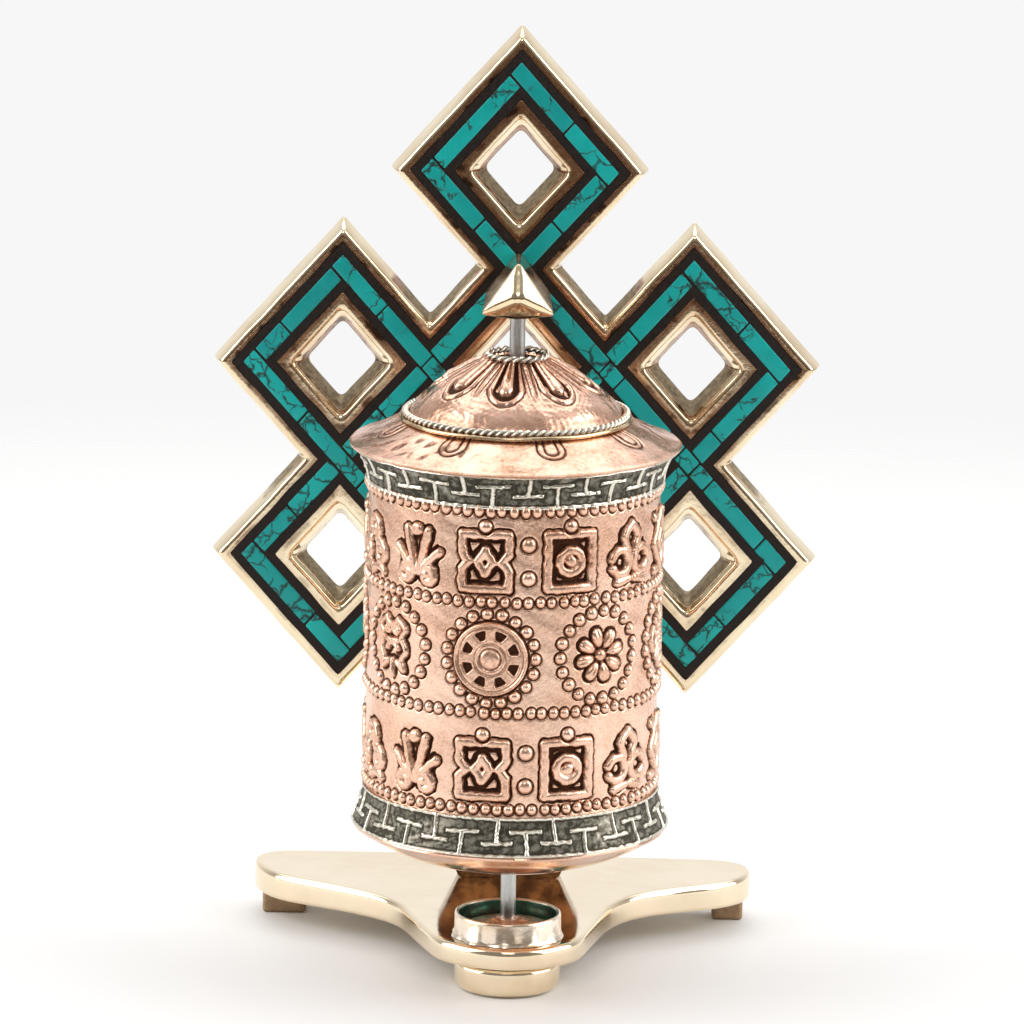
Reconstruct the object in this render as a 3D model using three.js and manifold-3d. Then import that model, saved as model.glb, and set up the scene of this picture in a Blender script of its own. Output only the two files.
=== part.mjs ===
// A tabletop prayer wheel: a copper drum that turns on a fixed steel spindle, between a cup on a brass
// base plate and an arm that reaches forward from an endless-knot panel inlaid with turquoise.
// Millimetres, +Z up. The origin is where the spindle's axis meets the table; the knot panel stands at +Y.
import * as THREE from "three";
import { ConvexGeometry } from "three/addons/geometries/ConvexGeometry.js";
import { mergeVertices } from "three/addons/utils/BufferGeometryUtils.js";
import Module from "manifold-3d";

const wasm = await Module();
wasm.setup();

// ---- driving dimensions ----
const SIDES = 40; // facets of the large turned pieces
const SMALL_SIDES = 24; // facets of the pieces round the spindle
const SLIP = 0.05; // gap left between pieces that are set into each other

const PLATE_TOP = 10.7;
const UNDERSIDE = { front: 6.5, slope: 0.022, from: -13 }; // the plate thickens towards the back
const FRONT_FOOT = { radius: 10.5, top: 5.9 };
const REAR_FOOT = { front: 53, back: 60 };
const REAR_FOOT_SIDES = { left: [-50.2, -41.2], right: [41.6, 48] };
const UNDER_BLOCK = { bottom: 2.4, side: [[13, 14], [17.2, 21.5], [20.6, 27.2], [23, 31.4], [24, 50]] };

const CUP = { outer: 10.5, inner: 9.65, floor: 11.4, top: 15.45 };
const SEAT = { radius: 9.2, rim: 12.1, top: 14.2, crown: 3.4 };
const SPINDLE = { radius: 1.5, bottom: 12.2, top: 140 };
const BORE_RADIUS = 1.6;
const COLLAR = { radius: 3, bottom: 102, top: 104.5 };

const PANEL = { front: 43.5, back: 49.5 };
const KNOT_TOP = 175.35; // height of the lattice's top crossing
const STEP_X = 17.53; // one lattice step sideways
const STEP_Z = 19.65; // and down
const FRAME_FRONT = 0.203; // half width of the outer bars, in lattice steps, at the front face
const FRAME_BACK = 0.241;
const HOLE_FRONT = 0.222; // half width of the bars round the holes
const HOLE_BACK = 0.3;
const PLINTH = { foot: 10, shoulder: 14.2, rise: 19.5, top: 26.4 }; // widens from the plate to its shoulders
const CHANNEL = { half: 3.4, depth: 1.2 };
const STONE = { half: 1.62, depth: 0.9 };

const ARM = { front: -6, ridge: 146.6, corner: 135.9, keel: 134.5, half: 7.3 };
const ARM_ROOT = { ridge: 139.9, corner: 131.2, keel: 130.2, half: 6.8 };
const ARM_TIP = { y: -10, z: 139.9 };

const DRUM = { radius: 28.5, wall: 0.8, bottom: 33.8, top: 108.3 };
const BAND_WALL = 0.35;
const TUBE = { inner: 2.2, outer: 3, bottom: 30.2, top: 101.5 };
const BUSH = { body: 3.2, flange: 5.5, flangeHeight: 1.4 };
const TOP_PLATE = { radius: 27.6, bottom: 105, top: 106 };
const ROLL = { inner: 3.3, outer: 24, bottom: 31.2, top: 100 };
const ROPE_WIRE = 0.72;
const ROPE_RING = { radius: 21.6, height: 115.8 };
const PLAIN_RING = { radius: 22.3, height: 114.8, wire: 0.42 };
const NECK_RING = { radius: 5.7, height: 127.15 };

// ---- materials ----
const metal = (color, roughness) => new THREE.MeshStandardMaterial({ color, roughness, metalness: 1 });
const matt = (color, roughness) => new THREE.MeshStandardMaterial({ color, roughness, metalness: 0 });
const BRASS = metal(0xe6cf9b, 0.2);
const ROUGH_BRASS = metal(0x8a6a42, 0.6);
const COPPER = metal(0xc9987a, 0.32);
const WHITE_METAL = metal(0xb9b4a6, 0.35);
const STEEL = metal(0xb1b1a9, 0.35);
const TURQUOISE = matt(0x009688, 0.35);
const LAC = matt(0x231914, 0.5);
const PAPER = matt(0xe6dcc0, 0.9);

const wheel = new THREE.Group();
const stand = new THREE.Group();
const drum = new THREE.Group();
wheel.add(stand, drum);

function add(group, name, geometry, material) {
  const mesh = new THREE.Mesh(geometry, material);
  mesh.name = name;
  group.add(mesh);
}

// ---- shape helpers ----
function solidOf(geometry) {
  const bare = new THREE.BufferGeometry();
  bare.setAttribute("position", geometry.getAttribute("position"));
  bare.setIndex(geometry.getIndex());
  const merged = mergeVertices(bare, 1e-4);
  const triVerts = new Uint32Array(merged.index.array);
  return new wasm.Manifold(new wasm.Mesh({
    numProp: 3,
    vertProperties: merged.getAttribute("position").array,
    triVerts,
  }));
}

function geometryOf(made) {
  const { numProp, vertProperties, triVerts } = made.getMesh();
  const geometry = new THREE.BufferGeometry();
  const positions = new THREE.InterleavedBuffer(vertProperties, numProp);
  geometry.setAttribute("position", new THREE.InterleavedBufferAttribute(positions, 3, 0));
  geometry.setIndex(new THREE.BufferAttribute(triVerts, 1));
  return geometry.toNonIndexed();
}

// A closed profile of [radius, height] points, turned about the Z axis.
function turned(profile, sides = SIDES) {
  const points = profile.map(([r, z]) => new THREE.Vector2(r, z));
  if (THREE.ShapeUtils.area(points) < 0) points.reverse();
  points.push(points[0].clone());
  return new THREE.LatheGeometry(points, sides).rotateX(Math.PI / 2);
}

// A plain tube or washer.
const tube = (inner, outer, bottom, top, sides) =>
  turned([[inner, bottom], [outer, bottom], [outer, top], [inner, top]], sides);

// A ring of round wire, with eight facets round the wire.
function wireRing(radius, height, wire) {
  const facets = 8;
  const profile = [];
  for (let i = 0; i < facets; i++) {
    const angle = ((i + 0.5) / facets) * 2 * Math.PI;
    profile.push([radius + wire * Math.cos(angle), height + wire * Math.sin(angle)]);
  }
  return turned(profile);
}

// Sheet metal turned about Z: its outside profile, with the inside lying `wall` nearer the axis.
function turnedSheet(outside, wall) {
  const inside = outside.map(([r, z]) => [r - wall, z]).reverse();
  return turned([...outside, ...inside]);
}

// A flat outline in X and Y, raised from bottom to top.
function slab(shape, bottom, top) {
  const settings = { depth: top - bottom, bevelEnabled: false, curveSegments: 8 };
  return new THREE.ExtrudeGeometry(shape, settings).translate(0, 0, bottom);
}

function block(x0, x1, y0, y1, z0, z1) {
  const box = new THREE.BoxGeometry(x1 - x0, y1 - y0, z1 - z0);
  return box.translate((x0 + x1) / 2, (y0 + y1) / 2, (z0 + z1) / 2);
}

// ---- base ----
const undersideAt = (y) => UNDERSIDE.front - UNDERSIDE.slope * (y - UNDERSIDE.from);

function basePlate() {
  // the plan, from the middle of the front lobe anticlockwise; the left wing is the wider one
  const rightLobe = [[0, -13.2], [4.8, -12], [9, -9.4], [12.2, -6.8], [14.4, -3.4], [16.7, 7], [18.9, 16]];
  const rightWing = [
    [21, 23.4], [25, 30.6], [31, 35.4], [37.5, 38.8], [44.6, 42.2], [48, 46.6], [49.4, 52.8], [48.6, 58.4],
    [45, 61.2], [36, 62],
  ];
  const leftWing = [
    [-36, 63.8], [-48.6, 63.4], [-51.9, 60], [-51.8, 53.8], [-49.9, 47.6], [-46, 42], [-41.6, 39.2], [-33.6, 33.8],
    [-26.4, 28.2], [-22.2, 22.8],
  ];
  const leftLobe = [[-19, 12], [-16.6, 3.4], [-14.4, -4.2], [-12, -7.2], [-9, -9.6], [-4.8, -12]];
  const plan = [...rightLobe, ...rightWing, ...leftWing, ...leftLobe];
  const loop = new THREE.CatmullRomCurve3(plan.map(([x, y]) => new THREE.Vector3(x, y, 0)), true);
  const outline = loop.getSpacedPoints(110).slice(0, -1).map((p) => new THREE.Vector2(p.x, p.y));
  const plate = slab(new THREE.Shape(outline), UNDERSIDE.front, PLATE_TOP);
  const corners = plate.getAttribute("position");
  for (let i = 0; i < corners.count; i++) {
    if (corners.getZ(i) < PLATE_TOP - 1) corners.setZ(i, undersideAt(corners.getY(i)));
  }
  return plate;
}

function makeBase() {
  add(stand, "base_plate", basePlate(), BRASS);
  const { radius, top } = FRONT_FOOT;
  const foot = [[0, 0], [radius - 1.4, 0], [radius, 1.6], [radius, top], [0, top]];
  add(stand, "front_foot", turned(foot), BRASS);
  const { front, back } = REAR_FOOT;
  const footTop = undersideAt(back) - SLIP;
  for (const [side, [x0, x1]] of Object.entries(REAR_FOOT_SIDES)) {
    add(stand, `rear_foot_${side}`, block(x0, x1, front, back, 0, footTop), ROUGH_BRASS);
  }
  const { bottom, side } = UNDER_BLOCK;
  const otherSide = side.map(([x, y]) => [-x, y]).reverse();
  const plan = new THREE.Shape([...side, ...otherSide].map(([x, y]) => new THREE.Vector2(x, y)));
  const blockTop = undersideAt(side.at(-1)[1]) - SLIP;
  add(stand, "under_block", slab(plan, bottom, blockTop), ROUGH_BRASS);
}

function makeCup() {
  const cup = [
    [0, PLATE_TOP], [CUP.outer, PLATE_TOP], [CUP.outer, CUP.top],
    [CUP.inner, CUP.top], [CUP.inner, CUP.floor], [0, CUP.floor],
  ];
  add(stand, "spindle_cup", turned(cup), BRASS);
  const hole = SPINDLE.radius + SLIP;
  const seat = [
    [0, CUP.floor], [SEAT.radius, CUP.floor], [SEAT.radius, SEAT.rim], [SEAT.crown, SEAT.top],
    [hole, SEAT.top], [hole, SPINDLE.bottom - SLIP], [0, SPINDLE.bottom - SLIP],
  ];
  add(stand, "spindle_seat", turned(seat, SMALL_SIDES), COPPER);
}

function makeSpindle() {
  const { radius, bottom, top } = SPINDLE;
  const rod = [[0, bottom], [radius, bottom], [radius, top - 1], [radius - 0.8, top], [0, top]];
  add(stand, "spindle", turned(rod, SMALL_SIDES), STEEL);
  const collar = tube(radius + SLIP, COLLAR.radius, COLLAR.bottom, COLLAR.top, SMALL_SIDES);
  add(stand, "thrust_collar", collar, STEEL);
}

// ---- knot panel ----
// The knot is drawn on a slanting lattice: u counts steps down to the right, v steps down to the left.
const place = (u, v) => new THREE.Vector2((u - v) * STEP_X, KNOT_TOP - (u + v) * STEP_Z);
const PITCH = (2 * STEP_X * STEP_Z) / Math.hypot(STEP_X, STEP_Z); // distance between parallel bars

// Corners of the outline from the top round the right side: the crossing, and how its corner is pushed.
const OUTLINE = [
  [0, 0, -1, -1], [1, 0, 1, -1], [1, 1, 1, -1], [2, 1, -1, -1], [2, 0, -1, -1], [3, 0, 1, -1], [3, 1, 1, -1],
  [4, 1, 1, -1], [4, 2, 1, 1], [3, 2, 1, 1], [3, 3, 1, -1], [4, 3, 1, -1], [4, 4, 1, 1],
];

// The left side is the right side with u and v swapped.
function outline(push) {
  const right = OUTLINE.map(([u, v, su, sv]) => [u + su * push, v + sv * push]);
  const left = right.slice(1, -1).reverse().map(([u, v]) => [v, u]);
  return [...right, ...left].map(([u, v]) => place(u, v));
}

const cell = (u0, u1, v0, v1) => [place(u0, v0), place(u1, v0), place(u1, v1), place(u0, v1)];

const HOLES = [[0, 0], [0, 2], [2, 0], [1, 1], [1, 2], [2, 1], [2, 2], [1, 3], [3, 1], [3, 3]];

// A solid between two outlines in X and Z with matching corners, one at y0 and one at y1.
function loft(near, far, y0, y1) {
  if (THREE.ShapeUtils.isClockWise(near)) return loft([...near].reverse(), [...far].reverse(), y0, y1);
  const count = near.length;
  const corners = [
    ...near.map((p) => new THREE.Vector3(p.x, y0, p.y)),
    ...far.map((p) => new THREE.Vector3(p.x, y1, p.y)),
  ];
  const index = [];
  for (const [a, b, c] of THREE.ShapeUtils.triangulateShape(near, [])) {
    index.push(a, b, c, a + count, c + count, b + count);
  }
  for (let i = 0; i < count; i++) {
    const j = (i + 1) % count;
    index.push(i, i + count, j, j, i + count, j + count);
  }
  const geometry = new THREE.BufferGeometry().setFromPoints(corners);
  return geometry.setIndex(index);
}

const panelBlock = (corners, y0, y1) => loft(corners, corners, y0, y1);

// The knot's bars: those along u lie over, as [v, first u, last u]. Those along v are cut where they
// pass under, so each is a row of one-step stretches, as [u, first v of each stretch].
const BARS_OVER = [[0, 0, 1], [0, 2, 3], [1, 0, 4], [2, 0, 4], [3, 0, 4], [4, 1, 2], [4, 3, 4]];
const BARS_UNDER = [[0, [0, 2]], [1, [0, 1, 2, 3]], [2, [0, 1, 2, 3]], [3, [0, 1, 2, 3]], [4, [1, 3]]];

// The corners of each bar, `half` wide to each side and reaching `past` beyond its end crossings, in mm.
function barsOver(half, past) {
  const h = half / PITCH;
  const p = past / PITCH;
  return BARS_OVER.map(([v, from, to]) => cell(from - p, to + p, v - h, v + h));
}

function barsUnder(half, past) {
  const h = half / PITCH;
  const p = past / PITCH;
  return BARS_UNDER.flatMap(([u, starts]) => starts.map((v) => cell(u - h, u + h, v - p, v + 1 + p)));
}

function barSolids(half, endGap, y0, y1) {
  const cells = [...barsOver(half, half), ...barsUnder(half, endGap)];
  return cells.map((corners) => solidOf(panelBlock(corners, y0, y1)));
}

const CUT = 1; // how far a cutter runs past the face it cuts

function knotFrame() {
  const { front, back } = PANEL;
  const { foot, shoulder, rise, top } = PLINTH;
  let frame = solidOf(loft(outline(FRAME_FRONT), outline(FRAME_BACK), front, back));
  const side = [[foot, PLATE_TOP - CUT], [foot, PLATE_TOP], [shoulder, rise], [shoulder, top]];
  const otherSide = side.map(([x, z]) => [-x, z]).reverse();
  const plinth = [...side, ...otherSide].map(([x, z]) => new THREE.Vector2(x, z));
  frame = frame.add(solidOf(loft(plinth, plinth, front, back)));
  const draft = (CUT * (HOLE_BACK - HOLE_FRONT)) / (back - front);
  const a = HOLE_FRONT - draft;
  const b = HOLE_BACK + draft;
  for (const [u, v] of HOLES) {
    const near = cell(u + a, u + 1 - a, v + a, v + 1 - a);
    const far = cell(u + b, u + 1 - b, v + b, v + 1 - b);
    frame = frame.subtract(solidOf(loft(near, far, front - CUT, back + CUT)));
  }
  for (const bar of barSolids(CHANNEL.half, CHANNEL.half, front - CUT, front + CHANNEL.depth)) {
    frame = frame.subtract(bar);
  }
  const below = block(-2 * foot, 2 * foot, front - CUT, back + CUT, 0, PLATE_TOP);
  return geometryOf(frame.subtract(solidOf(below)));
}

function inlayBed() {
  const { front } = PANEL;
  const half = CHANNEL.half - SLIP;
  const bars = barSolids(half, half, front, front + CHANNEL.depth - SLIP);
  let bed = bars.reduce((sum, bar) => sum.add(bar));
  for (const pocket of barSolids(STONE.half + SLIP, 0, front - CUT, front + STONE.depth + SLIP)) {
    bed = bed.subtract(pocket);
  }
  return geometryOf(bed);
}

function makePanel() {
  add(stand, "knot_frame", knotFrame(), BRASS);
  add(stand, "inlay_bed", inlayBed(), LAC);
  const { half, depth } = STONE;
  const stone = (corners) => panelBlock(corners, PANEL.front, PANEL.front + depth);
  barsOver(half, half).forEach((bar, i) => add(stand, `inlay_over_${i + 1}`, stone(bar), TURQUOISE));
  const under = barsUnder(half, -half - 2 * SLIP);
  under.forEach((bar, i) => add(stand, `inlay_under_${i + 1}`, stone(bar), TURQUOISE));
}

function makeArm() {
  const section = ({ ridge, corner, keel, half }, y) => [
    new THREE.Vector3(0, y, ridge), new THREE.Vector3(0, y, keel),
    new THREE.Vector3(-half, y, corner), new THREE.Vector3(half, y, corner),
  ];
  const tip = new THREE.Vector3(0, ARM_TIP.y, ARM_TIP.z);
  const hull = new ConvexGeometry([...section(ARM, ARM.front), ...section(ARM_ROOT, PANEL.front), tip]);
  const socket = tube(0, SPINDLE.radius + SLIP, ARM.keel - CUT, SPINDLE.top + SLIP, SMALL_SIDES);
  add(stand, "top_arm", geometryOf(solidOf(hull).subtract(solidOf(socket))), BRASS);
}

// ---- drum ----
const SHELL_FIT = DRUM.radius + SLIP; // inside radius of the bands where they grip the shell

function makeShell() {
  add(drum, "drum_shell", tube(DRUM.radius - DRUM.wall, DRUM.radius, DRUM.bottom, DRUM.top), COPPER);
  const grip = SHELL_FIT + BAND_WALL;
  const upper = [[grip, 102.8], [grip + 0.1, 104.2], [29.7, 106.4], [30.7, 108.2], [31.5, 109.2]];
  const lower = [[31, 34.17], [30.6, 35.2], [29.7, 37.6], [grip + 0.2, 39.8], [grip, 41.4]];
  add(drum, "upper_band", turnedSheet(upper, BAND_WALL), WHITE_METAL);
  add(drum, "lower_band", turnedSheet(lower, BAND_WALL), WHITE_METAL);
}

function makeLid() {
  const collar = DRUM.radius - DRUM.wall - 0.1; // the lid's collar pushes into the shell
  const brim = [
    [32.31, 109.4], [32.31, 109.94], [27, 112.2], [21.6, 114.5], [19.6, 114.9], [19.6, 114.2],
    [21.4, 113.8], [collar - 0.7, 111.4], [collar - 0.7, 107], [collar, 107], [collar, 111.1],
  ];
  add(drum, "lid_brim", turned(brim), COPPER);
  const cone = [
    [20.7, 115], [20.2, 116.6], [18.9, 118.4], [16.7, 120.3], [13.7, 122.4], [9.8, 124.4], [5.9, 126.35],
  ];
  add(drum, "lid_cone", turnedSheet(cone, 0.9), COPPER);
  add(drum, "rope_ring_large", wireRing(ROPE_RING.radius, ROPE_RING.height, ROPE_WIRE), WHITE_METAL);
  add(drum, "plain_ring_large", wireRing(PLAIN_RING.radius, PLAIN_RING.height, PLAIN_RING.wire), BRASS);
  add(drum, "neck_ring", wireRing(NECK_RING.radius, NECK_RING.height, ROPE_WIRE), WHITE_METAL);
}

function makeBottomCap() {
  const hole = BUSH.body + SLIP;
  const cap = [
    [hole, 27.6], [17.6, 27.6], [22, 28.8], [26.5, 31], [29.8, 33.1], [30.8, 33.4], [30.8, 34.1],
    [29.4, 34.1], [26.1, 31.9], [21.7, 29.6], [17.4, 28.4], [hole, 28.4],
  ];
  add(drum, "bottom_cap", turned(cap), COPPER);
}

// A flanged bush: its body passes down through a sheet, and its flange rests on the sheet.
function bush(bottom, sheet) {
  const { body, flange, flangeHeight } = BUSH;
  const top = sheet + flangeHeight;
  const profile = [
    [BORE_RADIUS, bottom], [body, bottom], [body, sheet], [flange, sheet], [flange, top], [BORE_RADIUS, top],
  ];
  return turned(profile, SMALL_SIDES);
}

function makeDrumInside() {
  add(drum, "bottom_bush", bush(27.2, 28.4 + SLIP), BRASS);
  add(drum, "top_bush", bush(COLLAR.top + SLIP, TOP_PLATE.top + SLIP), BRASS);
  const plate = tube(BUSH.body + SLIP, TOP_PLATE.radius, TOP_PLATE.bottom, TOP_PLATE.top);
  add(drum, "top_plate", plate, COPPER);
  add(drum, "inner_tube", tube(TUBE.inner, TUBE.outer, TUBE.bottom, TUBE.top, SMALL_SIDES), BRASS);
  add(drum, "mantra_roll", tube(ROLL.inner, ROLL.outer, ROLL.bottom, ROLL.top), PAPER);
}

makeBase();
makeCup();
makeSpindle();
makePanel();
makeArm();
makeShell();
makeLid();
makeBottomCap();
makeDrumInside();

export default wheel;
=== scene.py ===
"""A tabletop prayer wheel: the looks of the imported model, built round it in metres."""
import math

import bmesh
import bpy
import numpy as np
from mathutils import Matrix, Vector, geometry

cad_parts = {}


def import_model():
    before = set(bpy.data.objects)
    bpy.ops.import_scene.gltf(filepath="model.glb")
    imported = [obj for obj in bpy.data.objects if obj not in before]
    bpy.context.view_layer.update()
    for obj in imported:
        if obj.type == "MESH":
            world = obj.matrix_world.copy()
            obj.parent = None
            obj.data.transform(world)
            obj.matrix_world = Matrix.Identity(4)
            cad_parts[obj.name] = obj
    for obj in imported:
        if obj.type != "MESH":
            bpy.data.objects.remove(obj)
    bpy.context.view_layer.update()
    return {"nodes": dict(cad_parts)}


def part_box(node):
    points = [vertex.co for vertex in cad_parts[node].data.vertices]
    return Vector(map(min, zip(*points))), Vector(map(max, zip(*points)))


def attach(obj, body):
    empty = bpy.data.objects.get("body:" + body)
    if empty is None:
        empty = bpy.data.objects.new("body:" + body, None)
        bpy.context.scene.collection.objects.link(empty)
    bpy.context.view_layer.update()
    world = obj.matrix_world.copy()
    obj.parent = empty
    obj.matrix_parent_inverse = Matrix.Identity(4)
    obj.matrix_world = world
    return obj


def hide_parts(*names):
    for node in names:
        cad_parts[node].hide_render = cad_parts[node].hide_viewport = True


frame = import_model()

MM = 0.001  # shapes are worked out in millimetres and scaled at the end
TURN = 2 * math.pi


# ---------------------------------------------------------------- small maths
def smooth(low, high, x):
    """0 below low, 1 above high, and an even slope between."""
    t = np.clip((x - low) / (high - low), 0.0, 1.0)
    return t * t * (3 - 2 * t)


def waves(x, y, size, seed, count=9):
    """Soft uneven waves from about -1 to 1, a few `size` apart, for hand-made surfaces."""
    rng = np.random.default_rng(seed)
    total = 0.0
    for _ in range(count):
        angle, phase, stretch = rng.uniform(0, TURN), rng.uniform(0, TURN), rng.uniform(0.6, 1.7)
        k = TURN / (size * stretch)
        total = total + np.sin(k * (x * math.cos(angle) + y * math.sin(angle)) + phase)
    return total / math.sqrt(count)


def ring_waves(angle, lobes, seed, count=6):
    """Soft uneven waves round a circle, with no seam."""
    rng = np.random.default_rng(seed)
    total = 0.0
    for _ in range(count):
        total = total + np.sin(rng.integers(2, lobes) * angle + rng.uniform(0, TURN))
    return total / math.sqrt(count)


# ---------------------------------------------------------------- meshes
def add(name, data):
    ob = bpy.data.objects.new(name, data)
    bpy.context.scene.collection.objects.link(ob)
    return ob


def add_piece(name, mesh, body, material, node, sharp=None):
    """Puts a mesh in the scene as a visible piece that rides on a body in place of a CAD node."""
    mesh.shade_smooth()
    if sharp is not None:
        mesh.set_sharp_from_angle(angle=math.radians(sharp))
    mesh.materials.append(material)
    ob = add(name, mesh)
    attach(ob, body)
    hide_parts(node)
    return ob


def make_object(name, points, faces, body, material, node, attributes=None, sharp=None):
    """A piece from points in mm and lists of faces."""
    mesh = bpy.data.meshes.new(name)
    sizes = np.concatenate([np.full(len(f), f.shape[1]) for f in faces])
    corners = np.concatenate([f.ravel() for f in faces])
    mesh.vertices.add(len(points))
    mesh.vertices.foreach_set("co", (np.asarray(points) * MM).ravel())
    mesh.loops.add(len(corners))
    mesh.loops.foreach_set("vertex_index", corners.astype(np.int32))
    mesh.polygons.add(len(sizes))
    starts = np.concatenate([[0], np.cumsum(sizes)[:-1]])
    mesh.polygons.foreach_set("loop_start", starts.astype(np.int32))
    mesh.update(calc_edges=True)
    mesh.validate()
    for key, values in (attributes or {}).items():
        layer = mesh.attributes.new(key, "FLOAT", "POINT")
        layer.data.foreach_set("value", np.asarray(values, np.float32).ravel())
    return add_piece(name, mesh, body, material, node, sharp)


def ring_faces(rows, columns, closed):
    """The quads of a grid of points numbered row by row. Its columns go round, and its rows if closed."""
    i = np.arange(rows if closed else rows - 1)[:, None]
    j = np.arange(columns)[None, :]
    i2, j2 = (i + 1) % rows, (j + 1) % columns
    quads = np.stack([i * columns + j, i * columns + j2, i2 * columns + j2, i2 * columns + j], -1)
    return quads.reshape(-1, 4)


def angles(columns):
    """A row of angles round the drum: 0 faces the front, and they grow towards +X."""
    return (np.arange(columns) / columns * TURN)[None, :]


def turned_points(radius, height):
    """Points at these distances from the spindle's axis and heights, with a column for each angle."""
    angle = angles(radius.shape[1])
    return np.stack([radius * np.sin(angle), -radius * np.cos(angle), height + 0 * angle], -1).reshape(-1, 3)


def turned(name, radius, height, body, material, node, attributes, sharp=None):
    """A closed profile turned about the spindle's axis. radius and height have a row for each point of
    the profile, listed so that the outside is climbed, and a column for each angle."""
    faces = [ring_faces(*radius.shape, True)]
    points = turned_points(radius, height)
    return make_object(name, points, faces, body, material, node, attributes, sharp)


def profile_points(corners, step):
    """A polyline's points about `step` apart, with its corners kept."""
    out = []
    for (r0, z0), (r1, z1) in zip(corners[:-1], corners[1:]):
        count = max(1, round(math.hypot(r1 - r0, z1 - z0) / step))
        for k in range(count):
            out.append((r0 + (r1 - r0) * k / count, z0 + (z1 - z0) * k / count))
    return np.array(out + [corners[-1]])


def curve_points(corners, step):
    """The same, along a smooth curve through the corners."""
    corners = np.array(corners, float)
    ends = np.vstack([2 * corners[0] - corners[1], corners, 2 * corners[-1] - corners[-2]])
    out = []
    for k in range(len(corners) - 1):
        p0, p1, p2, p3 = ends[k : k + 4]
        count = max(1, round(float(np.linalg.norm(p2 - p1)) / step))
        t = (np.arange(count) / count)[:, None]
        out.append(0.5 * (2 * p1 + (p2 - p0) * t + (2 * p0 - 5 * p1 + 4 * p2 - p3) * t**2
                          + (3 * p1 - p0 - 3 * p2 + p3) * t**3))
    return np.vstack(out + [corners[-1:]])


# ---------------------------------------------------------------- materials
class Nodes:
    """A node tree under construction, with short calls for its nodes."""

    def __init__(self, tree):
        self.tree = tree

    def node(self, kind, out=0, settings=None, **inputs):
        made = self.tree.nodes.new("ShaderNode" + kind)
        for key, value in (settings or {}).items():
            setattr(made, key, value)
        for key, value in inputs.items():
            index = int(key[1:]) if key[0] == "i" and key[1:].isdigit() else key.replace("_", " ")
            self.give(made.inputs[index], value)
        return made.outputs[out]

    def give(self, socket, value):
        if isinstance(value, bpy.types.NodeSocket):
            self.tree.links.new(value, socket)
        else:
            socket.default_value = value

    def place(self):
        return self.node("TexCoord", out="Object")

    def stretch(self, vector, x, y, z):
        return self.node("Mapping", Vector=vector, Scale=(x, y, z))

    def noise(self, scale, detail=3.0, rough=0.5, vector=None):
        """Noise in the object's own space, with `scale` features to the metre."""
        vector = vector or self.place()
        return self.node("TexNoise", Vector=vector, Scale=scale, Detail=detail, Roughness=rough)

    def attribute(self, name):
        return self.node("Attribute", out="Fac", settings={"attribute_name": name})

    def math(self, operation, a, b=0.0, clamp=False):
        return self.node("Math", settings={"operation": operation, "use_clamp": clamp}, i0=a, i1=b)

    def span(self, value, low, high, to_low=0.0, to_high=1.0):
        return self.node("MapRange", i0=value, i1=low, i2=high, i3=to_low, i4=to_high)

    def mix(self, factor, a, b):
        """A mix of two colours, which are sockets 6 and 7 of the node, and the result its output 2."""
        return self.node("Mix", 2, {"data_type": "RGBA"}, i0=factor, i6=a, i7=b)

    def bump(self, height, distance, strength):
        return self.node("Bump", Height=height, Distance=distance, Strength=strength)


class Shader(Nodes):
    """A Principled material under construction."""

    def __init__(self, name):
        self.material = bpy.data.materials.new(name)
        self.material.use_nodes = True
        super().__init__(self.material.node_tree)

    def finish(self, **inputs):
        for key, value in inputs.items():
            self.give(self.tree.nodes["Principled BSDF"].inputs[key.replace("_", " ")], value)
        return self.material


def worked_metal(name, light, warm, dark, rough, rough_dark=0.6, grain=900.0, bumps=0.00004,
                 stain=0.55, spots=0.0):
    """Polished metal with tarnish in its recesses, which the mesh's `patina` marks from 0 to 1; on the drum's
    ornaments and the arm's head `patina` also carries painted shade and a painted reflection. `stain` is how
    far the second tone spreads over the polish, and `spots` how much fine dark pitting it has."""
    s = Shader(name)
    patina = s.attribute("patina")
    broad = s.noise(70, 4, 0.6)
    speck = s.noise(grain, 5, 0.65)
    edge = s.math("ADD", patina, s.span(speck, 0.3, 0.7, -0.16, 0.16))
    tarnish = s.span(edge, 0.18, 0.75)
    blush = s.math("MULTIPLY", s.span(broad, 0.42, 0.62), s.span(speck, 0.35, 0.6, 0.35, 1.0))
    polished = s.mix(s.math("MULTIPLY", blush, stain), light, warm)
    near = s.mix(s.span(patina, 0.02, 0.4, 0.0, 0.55), polished, warm)
    if spots:
        pits = s.math("MULTIPLY", s.span(s.noise(grain * 1.3, 2, 0.5), 0.57, 0.68),
                      s.span(broad, 0.35, 0.6, 0.25, 1.0))
        near = s.mix(s.math("MULTIPLY", pits, spots), near, dark)
    colour = s.mix(tarnish, near, dark)
    roughness = s.math("ADD", s.span(speck, 0.3, 0.7, rough * 0.75, rough * 1.35),
                       s.math("MULTIPLY", tarnish, rough_dark - rough))
    normal = s.bump(speck, bumps, 0.5)
    return s.finish(Base_Color=colour, Metallic=1.0, Roughness=roughness, Normal=normal)


def plain_metal(name, colour, other, rough, grain=300.0, bumps=0.00003, along=(1.0, 1.0, 1.0)):
    """Metal with faint streaks of a second tone and fine working marks along one direction."""
    s = Shader(name)
    marks = s.noise(grain, 5, 0.65, s.stretch(s.place(), *along))
    broad = s.noise(45, 3, 0.55)
    blend = s.math("MULTIPLY", s.span(broad, 0.4, 0.65), s.span(marks, 0.3, 0.7, 0.4, 1.0))
    roughness = s.span(marks, 0.3, 0.7, rough * 0.7, rough * 1.4)
    return s.finish(Base_Color=s.mix(blend, colour, other), Metallic=1.0, Roughness=roughness,
                    Normal=s.bump(marks, bumps, 0.5))


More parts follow.
